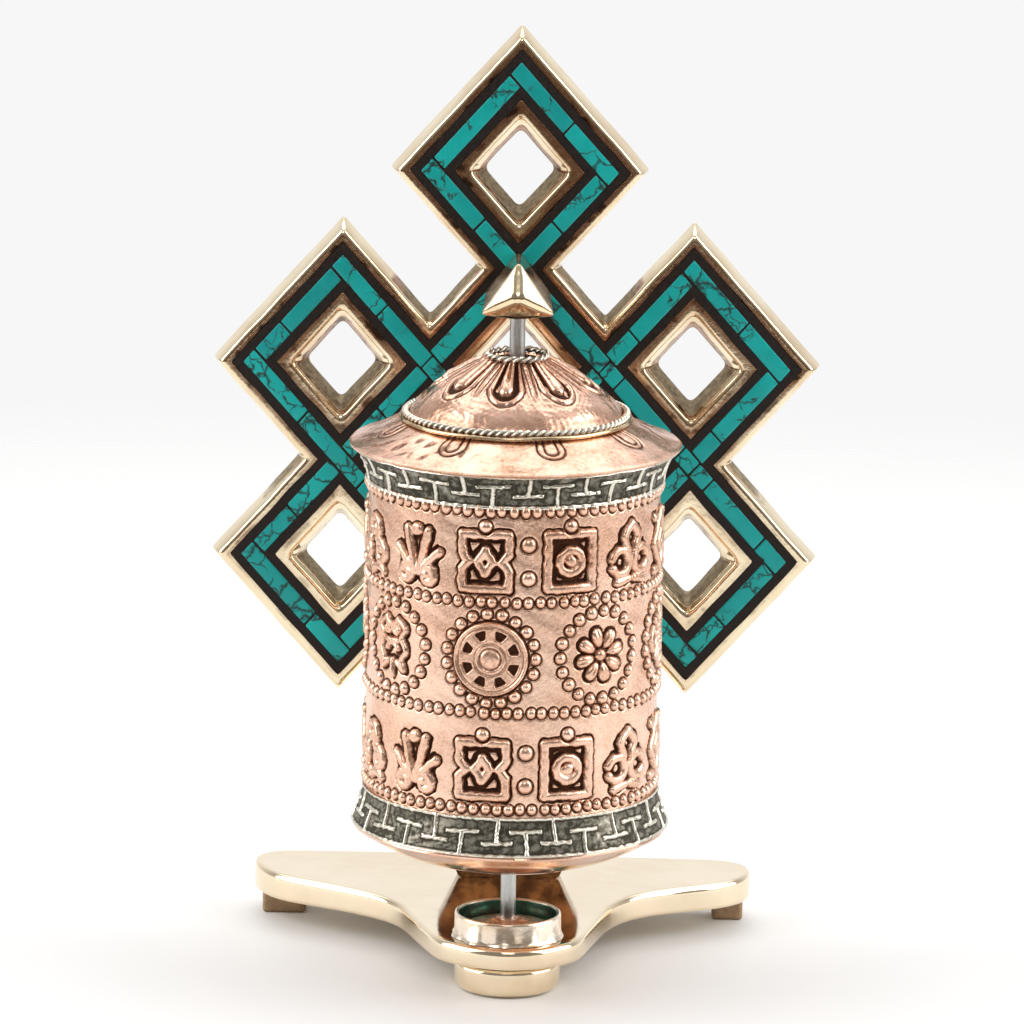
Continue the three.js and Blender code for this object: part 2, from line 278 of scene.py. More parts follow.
COPPER = worked_metal("copper", (0.95, 0.65, 0.50, 1), (0.70, 0.37, 0.22, 1), (0.075, 0.030, 0.017, 1),
                      rough=0.25, grain=1400.0, bumps=0.00008, stain=0.6, spots=0.25)
# a darker copy of the copper for the lid: partly its browner tarnish, partly a painted reflection of the dark
# surroundings in front of and above the cone and brim
LID_COPPER_PAINTED_DARK = worked_metal("lid_copper_painted_dark", (0.90, 0.58, 0.44, 1), (0.50, 0.25, 0.15, 1),
                          (0.060, 0.026, 0.016, 1), rough=0.2, rough_dark=0.55, grain=1100.0,
                          bumps=0.00008, stain=0.9, spots=0.3)
COPPER_SHEET = plain_metal("copper_sheet", (0.92, 0.62, 0.48, 1), (0.72, 0.38, 0.23, 1), 0.14, 500.0)
WHITE_METAL = worked_metal("white_metal", (0.84, 0.80, 0.70, 1), (0.58, 0.52, 0.41, 1),
                           (0.064, 0.058, 0.043, 1), rough=0.26)
BRASS = worked_metal("brass", (0.90, 0.75, 0.50, 1), (0.52, 0.31, 0.15, 1), (0.05, 0.022, 0.008, 1),
                     rough=0.12, rough_dark=0.5, grain=500.0)
BRASS_PLATE = plain_metal("brass_plate", (0.93, 0.80, 0.60, 1), (0.84, 0.68, 0.47, 1), 0.09, 200.0)
ROUGH_BRASS = plain_metal("rough_brass", (0.42, 0.29, 0.18, 1), (0.26, 0.16, 0.09, 1), 0.55, 700.0, 0.0002)
STEEL = plain_metal("steel", (0.62, 0.62, 0.60, 1), (0.40, 0.39, 0.37, 1), 0.32, 500.0, 0.00008,
                    (3.0, 3.0, 0.25))


def panel_brass():
    """Polished brass, browner beside the lac and towards the top; the browning towards the top is a painted
    reflection, and the plinth's dark tone is partly painted shade. The mesh's `patina` is about 0.3 beside
    the lac and 1 on the walls left rough and grey as they were cast."""
    s = Shader("panel_brass")
    skin = s.attribute("patina")
    height = s.node("SeparateXYZ", 2, i0=s.place())
    broad = s.noise(60, 4, 0.6)
    speck = s.noise(900, 4, 0.6)
    patches = s.noise(220, 4, 0.65)
    # painted reflection: `upper` grows towards the top of the panel, and the browning, blush and stains grow
    # with it, standing in for the darker reflection that the upper panel takes
    upper = s.span(s.math("ADD", height, s.span(broad, 0.3, 0.7, -0.025, 0.025)), 0.075, 0.125)
    beside = s.span(s.math("ADD", skin, s.span(patches, 0.3, 0.7, -0.07, 0.07)), 0.06, 0.2)
    browning_and_painted_reflection = s.math("MULTIPLY", beside, s.span(upper, 0.0, 1.0, 0.12, 0.95))
    blush = s.math("MULTIPLY", s.span(broad, 0.4, 0.62), s.span(upper, 0.0, 1.0, 0.25, 0.6))
    polished = s.mix(blush, (0.91, 0.78, 0.55, 1), (0.66, 0.44, 0.25, 1))
    polished = s.mix(browning_and_painted_reflection, polished, (0.34, 0.165, 0.085, 1))
    # dark stains beside the lac: partly real stains, partly painted reflection, as they grow towards the top
    stain = s.math("MULTIPLY", beside, s.span(upper, 0.0, 1.0, 0.3, 0.95))
    stain = s.math("MULTIPLY", s.span(patches, 0.52, 0.62), stain)
    polished = s.mix(stain, polished, (0.06, 0.032, 0.02, 1))
    below = s.span(height, 0.030, 0.024)  # the plinth, behind the drum's foot, was never polished; its dark tone is also painted shade from the drum's bottom cap above it
    unpolished_and_painted_shade = s.mix(s.span(patches, 0.4, 0.6), (0.10, 0.055, 0.03, 1), (0.32, 0.18, 0.08, 1))
    polished = s.mix(below, polished, unpolished_and_painted_shade)
    cast = s.mix(s.span(speck, 0.35, 0.65), (0.20, 0.15, 0.09, 1), (0.40, 0.33, 0.22, 1))
    edge = s.span(s.math("ADD", skin, s.span(speck, 0.3, 0.7, -0.1, 0.1)), 0.42, 0.72)
    roughness = s.math("ADD", s.span(speck, 0.3, 0.7, 0.09, 0.16), s.math("MULTIPLY", edge, 0.42))
    roughness = s.math("ADD", roughness, s.math("MULTIPLY", browning_and_painted_reflection, 0.14))
    grain = s.math("MULTIPLY", speck, s.span(edge, 0.0, 1.0, 0.15, 1.0))
    return s.finish(Base_Color=s.mix(edge, polished, cast), Metallic=1.0, Roughness=roughness,
                    Normal=s.bump(grain, 0.00025, 0.8))


def turquoise():
    s = Shader("turquoise")
    tone = s.attribute("tone")
    cloud = s.noise(90, 5, 0.6)
    base = s.mix(s.span(cloud, 0.35, 0.65), (0.0, 0.35, 0.33, 1), (0.0, 0.48, 0.455, 1))
    base = s.mix(s.math("MULTIPLY", tone, 0.5), base, (0.0, 0.23, 0.235, 1))
    warp = s.node("TexNoise", out="Color", Vector=s.place(), Scale=420.0, Detail=3.0)
    bent = s.node("VectorMath", settings={"operation": "MULTIPLY_ADD"}, i0=warp, i1=(0.004, 0.004, 0.004),
                  i2=s.place())
    cracks = s.node("TexVoronoi", settings={"feature": "DISTANCE_TO_EDGE"}, Vector=bent, Scale=230.0)
    where = s.noise(85, 3, 0.55)
    width = s.span(where, 0.46, 0.66, 0.0, 0.15)
    line = s.math("SUBTRACT", 1.0, s.node("MapRange", i0=cracks, i1=0.0, i2=width))
    line = s.math("MULTIPLY", line, s.span(where, 0.46, 0.52), clamp=True)
    colour = s.mix(line, base, (0.012, 0.016, 0.013, 1))
    return s.finish(Base_Color=colour, Roughness=s.span(cloud, 0.3, 0.7, 0.26, 0.42), IOR=1.45,
                    Normal=s.bump(line, -0.00012, 0.6))


def black_lac():
    s = Shader("black_lac")
    speck = s.noise(1500, 4, 0.6)
    colour = s.mix(s.span(speck, 0.4, 0.7), (0.008, 0.005, 0.004, 1), (0.020, 0.012, 0.008, 1))
    return s.finish(Base_Color=colour, Roughness=s.span(speck, 0.3, 0.7, 0.4, 0.65), Specular_IOR_Level=0.3,
                    Normal=s.bump(speck, 0.00012, 0.7))


def paper():
    s = Shader("paper")
    fibre = s.noise(600, 5, 0.6, s.stretch(s.place(), 1.0, 1.0, 4.0))
    return s.finish(Base_Color=s.mix(fibre, (0.62, 0.54, 0.38, 1), (0.80, 0.73, 0.56, 1)), Roughness=0.9,
                    Normal=s.bump(fibre, 0.0001, 0.5))


TURQUOISE = turquoise()
BLACK_LAC = black_lac()
PAPER = paper()
INSIDE = {"mantra_roll": PAPER, "thrust_collar": STEEL, "top_plate": COPPER_SHEET}
for inner in ("inner_tube", "bottom_bush", "top_bush"):
    INSIDE[inner] = BRASS_PLATE


# ---------------------------------------------------------------- drum shell
SHELL_RADIUS = 28.5
RELIEF_LOW, RELIEF_HIGH = 40.6, 104.0  # heights of the embossed zone, which ends under the fret bands
RELIEF_COLUMNS = 920
MEDALLION_BEADS, MEDALLION_RING = 19, 8.75
ROW_BEADS = 78
BEAD_ROWS = (102.0, 84.0, 62.2, 43.1)
MEDALLION_HEIGHT = 72.9
FIRST_MEDALLION = math.radians(-8.5)
ORNAMENT_HEIGHTS = (92.3, 51.3)
SEPARATOR = math.radians(5.8)  # the two pairs of dots stand here and opposite
ORNAMENT_GAP = math.radians(16.9)  # from a separator to the first ornament's middle
ORNAMENT_STEP = (math.pi - 2 * ORNAMENT_GAP) / 5


def hump(x, width):
    return np.exp(-((x / width) ** 2))


def dome(t, power=2):
    """1 in the middle, and 0 from t = 1 on."""
    return np.sqrt(np.clip(1 - t**power, 0, 1))


def line(*points):
    return np.array(points, float)


def arc(x, y, radius, start, end, flatten=1.0):
    """Points on an arc, in degrees counted from +X, with its height times flatten."""
    a = np.radians(np.linspace(start, end, max(4, int(abs(end - start) / 18) + 1)))
    return np.stack([x + radius * np.cos(a), y + radius * flatten * np.sin(a)], 1)


def spiral(x, y, outer, inner, start, sweep):
    t = np.linspace(0, 1, int(abs(sweep) / 20) + 2)
    a = np.radians(start + sweep * t)
    r = outer + (inner - outer) * t
    return np.stack([x + r * np.cos(a), y + r * np.sin(a)], 1)


def mirrored(*strokes):
    return [s for stroke in strokes for s in (stroke, stroke * (-1, 1))]


def stroke_distance(x, y, strokes):
    """Distance from each point to the nearest of the strokes."""
    best = np.full(x.shape, 99.0)
    for points in strokes:
        for (x0, y0), (x1, y1) in zip(points[:-1], points[1:]):
            dx, dy = x1 - x0, y1 - y0
            t = np.clip(((x - x0) * dx + (y - y0) * dy) / max(dx * dx + dy * dy, 1e-9), 0, 1)
            best = np.minimum(best, np.hypot(x - x0 - t * dx, y - y0 - t * dy))
    return best


def framed_ring():
    return mirrored(line((0, 5.3), (4.6, 5.3), (4.6, -5.3), (0, -5.3))) + [
        arc(0, 0, 2.3, 0, 360), arc(0, 0, 0.3, 0, 360)]


def trefoil():
    return mirrored(curve_points([(0, 5.9), (2.0, 3.6), (1.1, 0.9)], 0.7), arc(3.1, -1.4, 2.3, 20, 330),
                    line((0.8, -4.8), (3.8, -5.4)))


def cloud():
    return [spiral(0, 2.9, 2.6, 0.7, -60, 420)] + mirrored(
        spiral(3.0, -1.8, 2.3, 0.7, 120, -430), arc(2.4, -5.4, 2.0, 10, 170, 0.4))


def lozenge():
    outer, inner = line((0, 5.8), (5.0, 0), (0, -5.8)), line((0, 1.7), (1.6, 0), (0, -1.7))
    return mirrored(outer, inner, line((5.0, 5.2), (3.4, 5.2)), line((5.0, -5.2), (3.4, -5.2)))


def leaf_fan():
    leaves = [curve_points([(0.3, -3.4), (x * 0.5, y * 0.3 - 1.6), (x, y)], 0.6)
              for x, y in ((2.5, 4.9), (5.0, 1.0))]
    return mirrored(*leaves, spiral(2.5, -4.0, 1.8, 0.6, 90, -330)) + [arc(0, 4.9, 0.5, 0, 360)]


def framed_lozenge():
    return mirrored(line((0, 5.3), (4.6, 5.3), (4.6, 1.6), (3.2, 0), (4.6, -1.6), (4.6, -5.3), (0, -5.3)),
                    line((0, 2.3), (1.5, 0), (0, -2.3)))


ORNAMENTS = (framed_ring(), trefoil(), lozenge(), cloud(), leaf_fan(), framed_lozenge())


def knot_symbol():
    bars = [line((-3.6, -3.6), (3.6, 3.6)), line((-3.6, -1.2), (1.2, 3.6)), line((-1.2, -3.6), (3.6, 1.2))]
    return mirrored(*bars, arc(3.8, 0, 2.4, -70, 70)) + [
        arc(0, 4.4, 1.7, -20, 200), arc(0, -4.4, 1.7, 160, 380)]


def vase_symbol():
    side = curve_points([(1.2, 5.2), (1.9, 3.4), (1.1, 2.4), (3.5, 0.4), (3.3, -2.6), (1.3, -4.4),
                         (2.4, -5.6)], 0.6)
    return mirrored(side, arc(1.6, -1.0, 1.5, 100, 440)) + [
        line((-2.3, -5.6), (2.3, -5.6)), line((-1.6, 2.9), (1.6, 2.9))]


def fish_symbol():
    body = curve_points([(0.6, 5.2), (3.6, 2.0), (3.2, -1.8), (0.9, -4.4), (2.6, -5.8)], 0.6)
    back = curve_points([(0.6, 5.2), (1.3, 1.6), (1.5, -1.4), (0.9, -4.4), (-0.4, -5.6)], 0.6)
    return mirrored(body, back)


def shell_symbol():
    return [spiral(0.2, 1.4, 4.4, 0.5, -110, 700)] + [
        curve_points([*side, (0.2, -6.2)], 0.6)
        for side in (((-1.6, -2.6), (0.6, -4.6)), ((3.6, -1.0), (2.8, -4.0)))]


def parasol_symbol():
    return [arc(0, 0.6, 5.0, 0, 180), line((0, 0.6), (0, -6.0)), line((0, 5.4), (0, 6.6))] + [
        arc(x, 0.4, 1.25, 180, 360) for x in (-3.75, -1.25, 1.25, 3.75)]


def banner_symbol():
    side = curve_points([(1.8, 5.4), (3.9, 3.6), (2.7, 1.8), (4.0, -0.6), (2.7, -2.6), (3.4, -4.6),
                         (1.4, -3.2)], 0.6)
    return mirrored(side, spiral(1.5, 3.2, 1.1, 0.3, 90, 300), arc(0, -1.2, 1.7, 20, 90)) + [
        line((0, -3.0), (0, -6.0)), line((-1.6, 1.0), (1.6, 1.0)), arc(0, 6.0, 1.8, 200, 340)]


# the signs in the medallions after the first two, which hold the wheel and the lotus
SYMBOLS = (knot_symbol(), vase_symbol(), fish_symbol(), shell_symbol(), parasol_symbol(), banner_symbol())


class Relief:
    """Repousse work on a sheet: heights in mm over a grid, and how dark the tarnish is, with a little painted
    shade beside the strokes.
    """

    def __init__(self, across, up):
        self.x, self.y = across, up  # mm along the sheet, with across measured round the drum
        self.height = np.zeros(across.shape)
        self.patina = np.zeros(across.shape)
        self.round = across.max() + across[0, 1] - across[0, 0]  # the way round, where it wraps

    def window(self, x, y, reach):
        """The part of the grid near a point, as an index, with local coordinates there."""
        rows = np.where(np.abs(self.y[:, 0] - y) < reach)[0]
        local = (self.x[0] - x + self.round / 2) % self.round - self.round / 2
        columns = np.where(np.abs(local) < reach)[0]
        index = np.ix_(rows, columns)
        return index, local[columns][None, :] + 0 * self.y[index], self.y[index] - y

    def stamp(self, index, height, dark, cover):
        """Lays new work over the old as far as `cover` says, from 0 to 1."""
        self.height[index] = self.height[index] * (1 - cover) + height * cover
        self.patina[index] = np.maximum(self.patina[index] * (1 - cover), dark)

    def strokes(self, x, y, strokes, half, tall, deep, skirt, reach):
        index, lx, ly = self.window(x, y, reach)
        wide = half * (1 + 0.12 * waves(lx + x, ly + y, 2.6, 5))
        d = stroke_distance(lx, ly, strokes)
        ridge = -deep + (tall + deep) * dome(d / wide, 3)
        # the ground between the strokes is beaten down and dark; outside them there is only a thin dark line
        within = 1 - smooth(0.0, 0.5, np.maximum(np.abs(lx) - 4.6, np.abs(ly) - 5.3))
        apron = skirt * (0.4 + 0.6 * within)
        moat = -deep * (1 - smooth(wide + 0.3 * apron, wide + apron, d))
        dark = (1 - smooth(wide + 0.55 * apron, wide + apron * 1.15, d)) * smooth(wide * 0.78, wide * 1.05, d)
        # painted shade: the ground just outside each stroke is darkened a little, standing in for the shade
        # round the raised strokes
        painted_shade_beside = 0.14 * (1 - smooth(wide, wide + 2.2 * skirt, d))
        cover = 1 - smooth(wide + apron, wide + apron + 0.25, d)
        self.stamp(index, np.where(d < wide, ridge, moat), np.maximum(dark, painted_shade_beside), cover)

    def bead(self, x, y, rx, ry, tall, deep, rim):
        index, lx, ly = self.window(x, y, max(rx, ry) + 2 * rim)
        t = np.hypot(lx / rx, ly / ry)
        d = (t - 1) * min(rx, ry)
        height = np.where(t < 1, -deep + (tall + deep) * dome(t), -deep * (1 - smooth(0, rim, d)))
        dark = np.where(t < 1, smooth(0.8, 1.0, t) * 0.8, 1 - smooth(rim * 0.3, rim * 1.1, d))
        self.stamp(index, height, dark, 1 - smooth(rim * 0.6, rim, d))

    def wheel(self, x, y):
        index, lx, ly = self.window(x, y, 8.6)
        r, a = np.hypot(lx, ly), np.arctan2(ly, lx)
        slice_ = np.abs((a + math.pi / 8) % (math.pi / 4) - math.pi / 8)  # angle from the nearest spoke
        off = r * np.sin(slice_) - 0.8 * (0.9 + 0.1 * r / 5)
        window = smooth(0.0, 0.4, off) * smooth(3.7, 4.1, r) * (1 - smooth(5.4, 5.8, r))
        groove = hump(r - 2.1, 0.24) + 0.7 * hump(r - 3.1, 0.2) + 0.8 * hump(r - 6.35, 0.17)
        hub = 0.3 * dome(r / 1.8)
        rim = 0.3 * hump(r - 6.85, 0.34)
        plate = 0.55 * (1 - smooth(7.1, 7.5, r))
        height = plate + hub + rim - 0.75 * window - 0.3 * groove * (r < 7)
        outside = smooth(7.2, 7.4, r) * (1 - smooth(7.6, 7.8, r))
        dark = np.maximum.reduce([window, 0.7 * groove, outside, 0.2 * (r < 7.0)])
        self.stamp(index, height - 0.2 * outside, dark, 1 - smooth(7.7, 7.95, r))

    def lotus(self, x, y):
        for k in range(8):
            a = (k + 0.3) * TURN / 8
            index, lx, ly = self.window(x + 3.5 * math.cos(a), y + 3.5 * math.sin(a), 3.2)
            along = lx * math.cos(a) + ly * math.sin(a)
            side = -lx * math.sin(a) + ly * math.cos(a)
            t = np.hypot(along / 2.15, side / (1.3 + 0.2 * along))
            petal = -0.3 + 1.2 * dome(t, 2.4) - 0.2 * hump(side, 0.2)
            dark = smooth(0.8, 1.0, t) * (1 - smooth(1.1, 1.3, t))
            self.stamp(index, np.where(t < 1, petal, -0.3), dark, (t < 1.2).astype(float))
        self.bead(x, y, 1.3, 1.3, 1.0, 0.35, 0.3)


def shell_relief():
    """The embossed zone of the drum, between the two fret bands."""
    step = TURN * SHELL_RADIUS / RELIEF_COLUMNS
    up = np.arange(RELIEF_LOW, RELIEF_HIGH, step)
    across, height = np.meshgrid(np.arange(RELIEF_COLUMNS) * step, up)
    relief = Relief(across, height)
    rng = np.random.default_rng(11)
    for k in range(8):
        x = (FIRST_MEDALLION + k * TURN / 8) * SHELL_RADIUS
        for i in range(MEDALLION_BEADS):
            a = (i + 0.5 * (k % 2)) * TURN / MEDALLION_BEADS
            r = MEDALLION_RING + rng.uniform(-0.12, 0.12)
            size = rng.uniform(1.12, 1.28)
            relief.bead(x + r * math.cos(a), MEDALLION_HEIGHT + r * math.sin(a), size, size, 0.95, 0.3, 0.34)
        if k == 0:
            relief.wheel(x, MEDALLION_HEIGHT)
        elif k == 1:
            relief.lotus(x, MEDALLION_HEIGHT)
        else:
            relief.strokes(x, MEDALLION_HEIGHT, SYMBOLS[k - 2], 0.68, 0.75, 0.4, 0.7, 7.4)
    for row, z in enumerate(BEAD_ROWS):
        tall = 1.38 if row == 0 else 1.16
        for i in range(ROW_BEADS):
            x = (i + rng.uniform(-0.1, 0.1) + 0.3 * row) * TURN / ROW_BEADS * SHELL_RADIUS
            size = rng.uniform(0.9, 1.02)
            relief.bead(x, z + rng.uniform(-0.12, 0.12), 1.06 * size, tall * size, 0.82, 0.28, 0.3)
    for z in ORNAMENT_HEIGHTS:
        for half in (0, math.pi):
            x = (SEPARATOR + half) * SHELL_RADIUS
            for dot in (3.1, -3.5):
                relief.bead(x + rng.uniform(-0.1, 0.1), z + dot, 1.5, 1.5, 0.8, 0.25, 0.36)
            for k, ornament in enumerate(ORNAMENTS):
                x = (SEPARATOR + half + ORNAMENT_GAP + k * ORNAMENT_STEP) * SHELL_RADIUS
                relief.strokes(x, z - 0.35, ornament, 1.0, 0.75, 0.5, 0.9, 7.6)
                if k % 5 == 0:
                    relief.bead(x, z + 6.5, 1.38, 1.38, 0.85, 0.3, 0.36)
    relief.height += 0.08 * ring_waves(across / SHELL_RADIUS, 9, 3) + 0.03 * waves(across, height, 6.0, 21)
    relief.height += 0.006 * waves(across, height, 1.3, 22, 20)
    relief.patina = np.maximum(relief.patina, 0.16 * smooth(0.3, 1.2, waves(across, height, 9.0, 23)))
    return relief


def drum_shell():
    relief = shell_relief()
    rows, columns = relief.x.shape
    low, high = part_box("drum_shell")
    bottom, top = low.z / MM, high.z / MM
    fade = smooth(RELIEF_LOW, RELIEF_LOW + 1, relief.y) * (1 - smooth(RELIEF_HIGH - 1, RELIEF_HIGH, relief.y))
    outer = SHELL_RADIUS + relief.height * fade
    ring = np.ones((1, columns))
    inside = SHELL_RADIUS - 0.8
    radius = np.vstack([ring * inside, ring * SHELL_RADIUS, outer, ring * SHELL_RADIUS, ring * inside])
    height = np.vstack([ring * bottom, ring * bottom, relief.y, ring * top, ring * top])
    clean = np.zeros((2, columns))
    patina = np.vstack([clean, relief.patina * fade, clean])
    turned("drum_shell_repousse", radius, height, "drum", COPPER, "drum_shell", {"patina": patina})


# ---------------------------------------------------------------- other sheet metal of the drum
def plain_work(angle, radius, along):
    return 0.03 * ring_waves(angle, 12, 5) + 0 * radius, 0 * (angle + radius)


def distances(points):
    """How far each point is along a polyline."""
    return np.concatenate([[0], np.cumsum(np.linalg.norm(np.diff(points, axis=0), axis=1))])


def shaped_sheet(name, node, outside, wall, columns, material, work, step):
    """Sheet metal turned about the spindle. `outside` is climbed; work gives relief and tarnish on it."""
    curve = curve_points(outside, step)
    tangent = np.gradient(curve, axis=0)
    tangent /= np.linalg.norm(tangent, axis=1)[:, None]
    normal = np.stack([tangent[:, 1], -tangent[:, 0]], 1)
    height, patina = work(angles(columns), curve[:, :1], distances(curve)[:, None])
    height = np.broadcast_to(height, (len(curve), columns)).copy()
    height[0] = height[-1] = 0
    radius, z = [np.vstack([curve[:, i, None] + normal[:, i, None] * height,
                            np.repeat((curve - normal * wall)[::-1, i, None], columns, 1)]) for i in (0, 1)]
    dark = np.broadcast_to(patina, (len(curve), columns))
    turned(name, radius, z, "drum", material, node, {"patina": np.vstack([dark, 0.3 + 0 * dark])}, 60)


def fret_work(first, lean):
    """Thirty upright and hanging T shapes in turn between two rims, on a dark ground. `first` is the angle of
    the first, and `lean` how far they stand askew."""
    count = 30

    def work(angle, radius, along):
        rng = np.random.default_rng(17)
        long = along.max()
        uneven = 0.08 * waves(angle * radius, along, 1.6, 10)
        best = np.minimum(along, long - along) - 0.38
        for k in range(count):
            a = first + (k + rng.uniform(-0.1, 0.1)) * TURN / count
            across = ((angle - a + math.pi) % TURN - math.pi) * radius
            across = across + lean * rng.uniform(-1, 1) * (along - long / 2) * 0.14
            bar_at = long * ((0.64 if k % 2 else 0.35) + rng.uniform(-0.02, 0.02))
            beyond = bar_at - along if k % 2 else along - bar_at
            stem = np.where(beyond > 0, np.abs(across) - rng.uniform(0.2, 0.3), 99.0)
            tilt = rng.uniform(-0.06, 0.06)
            bar = np.maximum(np.abs(across) - rng.uniform(2.6, 3.3),
                             np.abs(along - bar_at + tilt * across) - 0.2)
            best = np.minimum(best, np.minimum(stem, bar))
        best = best + uneven
        worn = smooth(0.9, 1.6, waves(angle * radius, along * 0.4, 9.0, 12))
        lift = (1 - smooth(-0.12, 0.26, best)) * (1 - 0.4 * worn)
        dark = smooth(0.02, 0.3, best) * (0.68 + 0.05 * waves(angle * radius, along, 3.0, 9))
        dark = dark * (1 - 0.25 * worn) + 0.3 * hump(best - 0.3, 0.14)
        ground = 0.012 * waves(angle * radius, along, 2.8, 8)
        return 0.42 * lift - 0.16 + ground, np.clip(dark, 0, 1)

    return work


def u_work(angle, radius, along):
    """Engraved double U shapes, eight round the brim."""
    first = math.radians(-29)
    near = (angle - first + math.pi / 8) % (math.pi / 4) - math.pi / 8
    across = near * radius
    grooves, dark, swell = 0.0, 0.0, 0.0
    for half, centre in ((2.75, 24.9), (1.3, 25.2)):
        wide = half * (0.84 + 0.16 * smooth(22.0, centre, radius))
        d = np.where(radius < centre, np.abs(np.abs(across) - wide),
                     np.abs(np.hypot(across, radius - centre) - half))
        inside = 1 - smooth(half - 0.3, half + 0.3, np.hypot(across, np.maximum(radius - centre, 0)))
        grooves = grooves - 0.2 * hump(d, 0.26)
        dark = np.maximum(dark, 0.85 * hump(d, 0.27))
        swell = swell + 0.1 * inside * smooth(21.8, 24.0, radius)
    uneven = 0.05 * ring_waves(angle, 8, 31) + 0.035 * waves(angle * 24, radius, 6.0, 32)
    uneven = uneven + 0.006 * waves(angle * 26, radius, 1.3, 33, 20)
    uneven_heat = 0.12 * waves(angle * 26, radius, 5.0, 35)
    burnt = smooth(0.35, 0.75, np.cos(angle + math.radians(62)) ** 2 + uneven_heat)
    streaks = smooth(0.1, 0.9, waves(angle * 50, radius * 1.2, 5.0, 36))
    dirt = 0.3 * hump(radius - 22.4, 0.7) + 0.12 * smooth(0.2, 1.2, waves(angle * 26, radius, 5.0, 34))
    dirt = dirt + 0.5 * burnt * streaks * smooth(23.0, 25.0, radius) * (1 - smooth(29.5, 31.0, radius))
    return grooves + swell + uneven * smooth(20.5, 23, radius), np.maximum(dark, dirt)


def petal_work(angle, radius, along):
    """Eight embossed drops round the cone, each in a rimmed hollow, with fine ribs between them."""
    near = (angle + math.radians(8.8) + math.pi / 8) % (math.pi / 4) - math.pi / 8
    bulb = 13.3
    narrow = np.clip(radius / bulb, 0.3, 1.0) ** 1.1
    across = near * radius
    d = np.where(radius < bulb, np.abs(across) / narrow, np.hypot(across, radius - bulb))
    drop = 0.8 * dome(d / 1.4)
    hollow = smooth(1.3, 1.6, d) * (1 - smooth(2.4, 2.7, d))
    rim = hump(d - 3.05, 0.38)
    groove = hump(d - 3.75, 0.2)
    middle = (math.pi / 8 - np.abs(near)) * radius
    rib_zone = 1 - smooth(13.5, 16.5, radius)
    rib = hump(middle, 0.26) * rib_zone
    rib_side = hump(middle - 0.55, 0.18) + 0.6 * hump(middle - 1.25, 0.18) * smooth(8.5, 10.5, radius)
    rib_side = rib_side * rib_zone
    ends = smooth(5.9, 6.5, radius)
    relief = (drop - 0.42 * hollow + 0.3 * rim - 0.2 * groove + 0.26 * rib - 0.16 * rib_side) * ends
    foot = 0.3 * hump(radius - 20.3, 1.2)
    dirt = 0.14 * smooth(0.2, 1.2, waves(angle * 14, radius, 4.0, 42))
    dark = np.maximum.reduce(np.broadcast_arrays(hollow, 0.8 * groove, 0.7 * rib_side, foot, dirt))
    beaten = 0.05 * waves(angle * 14, radius, 4.0, 41) + 0.02 * waves(angle * 14, radius, 1.2, 43, 14)
    return relief + beaten, dark


def rope_ring(name, node, ring, height, twists):
    """A ring of two wires twisted together."""
    wire = 0.72  # radius of the rope
    angle, around = angles(twists * 16), angles(24).T
    reach, strand = 0.46 * wire, 0.54 * wire
    turn = around - twists * angle
    out = reach * np.abs(np.cos(turn)) + np.sqrt(strand**2 - (reach * np.sin(turn)) ** 2)
    radius = ring + 0.06 * ring_waves(angle, 9, 7) + out * np.cos(around)
    z = height + 0.06 * ring_waves(angle, 11, 8) + out * np.sin(around)
    dark = 1 - smooth(0.6 * wire, 0.84 * wire, out)
    turned(name, radius, z, "drum", WHITE_METAL, node, {"patina": 0.08 + 0.42 * dark})


def plain_ring(name, node, ring, height, wire):
    angle, around = angles(360), angles(14).T
    radius = ring + 0.05 * ring_waves(angle, 9, 12) + wire * np.cos(around)
    z = height + 0.05 * ring_waves(angle, 11, 13) + wire * np.sin(around)
    turned(name, radius, z, "drum", BRASS, node, {"patina": 0.25 + 0 * radius})


def drum_fittings():
    upper = [(28.72, 102.6), (28.95, 102.8), (29.15, 104.4), (29.75, 106.4), (30.7, 108.2), (31.5, 109.2)]
    lower = [(31.0, 34.2), (30.65, 35.4), (29.8, 37.8), (29.2, 39.8), (28.95, 41.2), (28.72, 41.5)]
    shaped_sheet("upper_fret_band", "upper_band", upper, 0.35, 1200, WHITE_METAL,
                 fret_work(math.radians(4.5), 1.0), 0.17)
    shaped_sheet("lower_fret_band", "lower_band", lower, 0.35, 1200, WHITE_METAL,
                 fret_work(math.radians(-5.5), 0.6), 0.17)
    brim = [(31.5, 109.45), (32.15, 109.42), (32.31, 109.72), (32.05, 110.05), (29.5, 111.0), (25.5, 112.8),
            (21.6, 114.55), (20.2, 114.8)]
    shaped_sheet("lid_brim_engraved", "lid_brim", brim, 0.5, 900, LID_COPPER_PAINTED_DARK, u_work, 0.22)
    cone = [(21.0, 114.95), (20.85, 115.4), (20.3, 116.6), (18.9, 118.4), (16.7, 120.3), (13.7, 122.4),
            (9.8, 124.5), (6.3, 126.3), (5.4, 126.7)]
    shaped_sheet("lid_cone_embossed", "lid_cone", cone, 0.5, 900, LID_COPPER_PAINTED_DARK, petal_work, 0.2)
    cap = [(3.3, 27.6), (17.0, 27.6), (18.2, 27.75), (22.0, 28.85), (26.5, 31.0), (29.8, 33.05), (30.6, 33.4),
           (30.85, 33.75), (30.7, 34.1)]
    shaped_sheet("bottom_cap_spun", "bottom_cap", cap, 0.6, 480, COPPER_SHEET, plain_work, 0.6)
    rope_ring("lid_rope_ring", "rope_ring_large", 21.6, 115.8, 44)
    plain_ring("lid_plain_ring", "plain_ring_large", 22.3, 114.8, 0.42)
    rope_ring("neck_rope_ring", "neck_ring", 5.7, 127.15, 11)


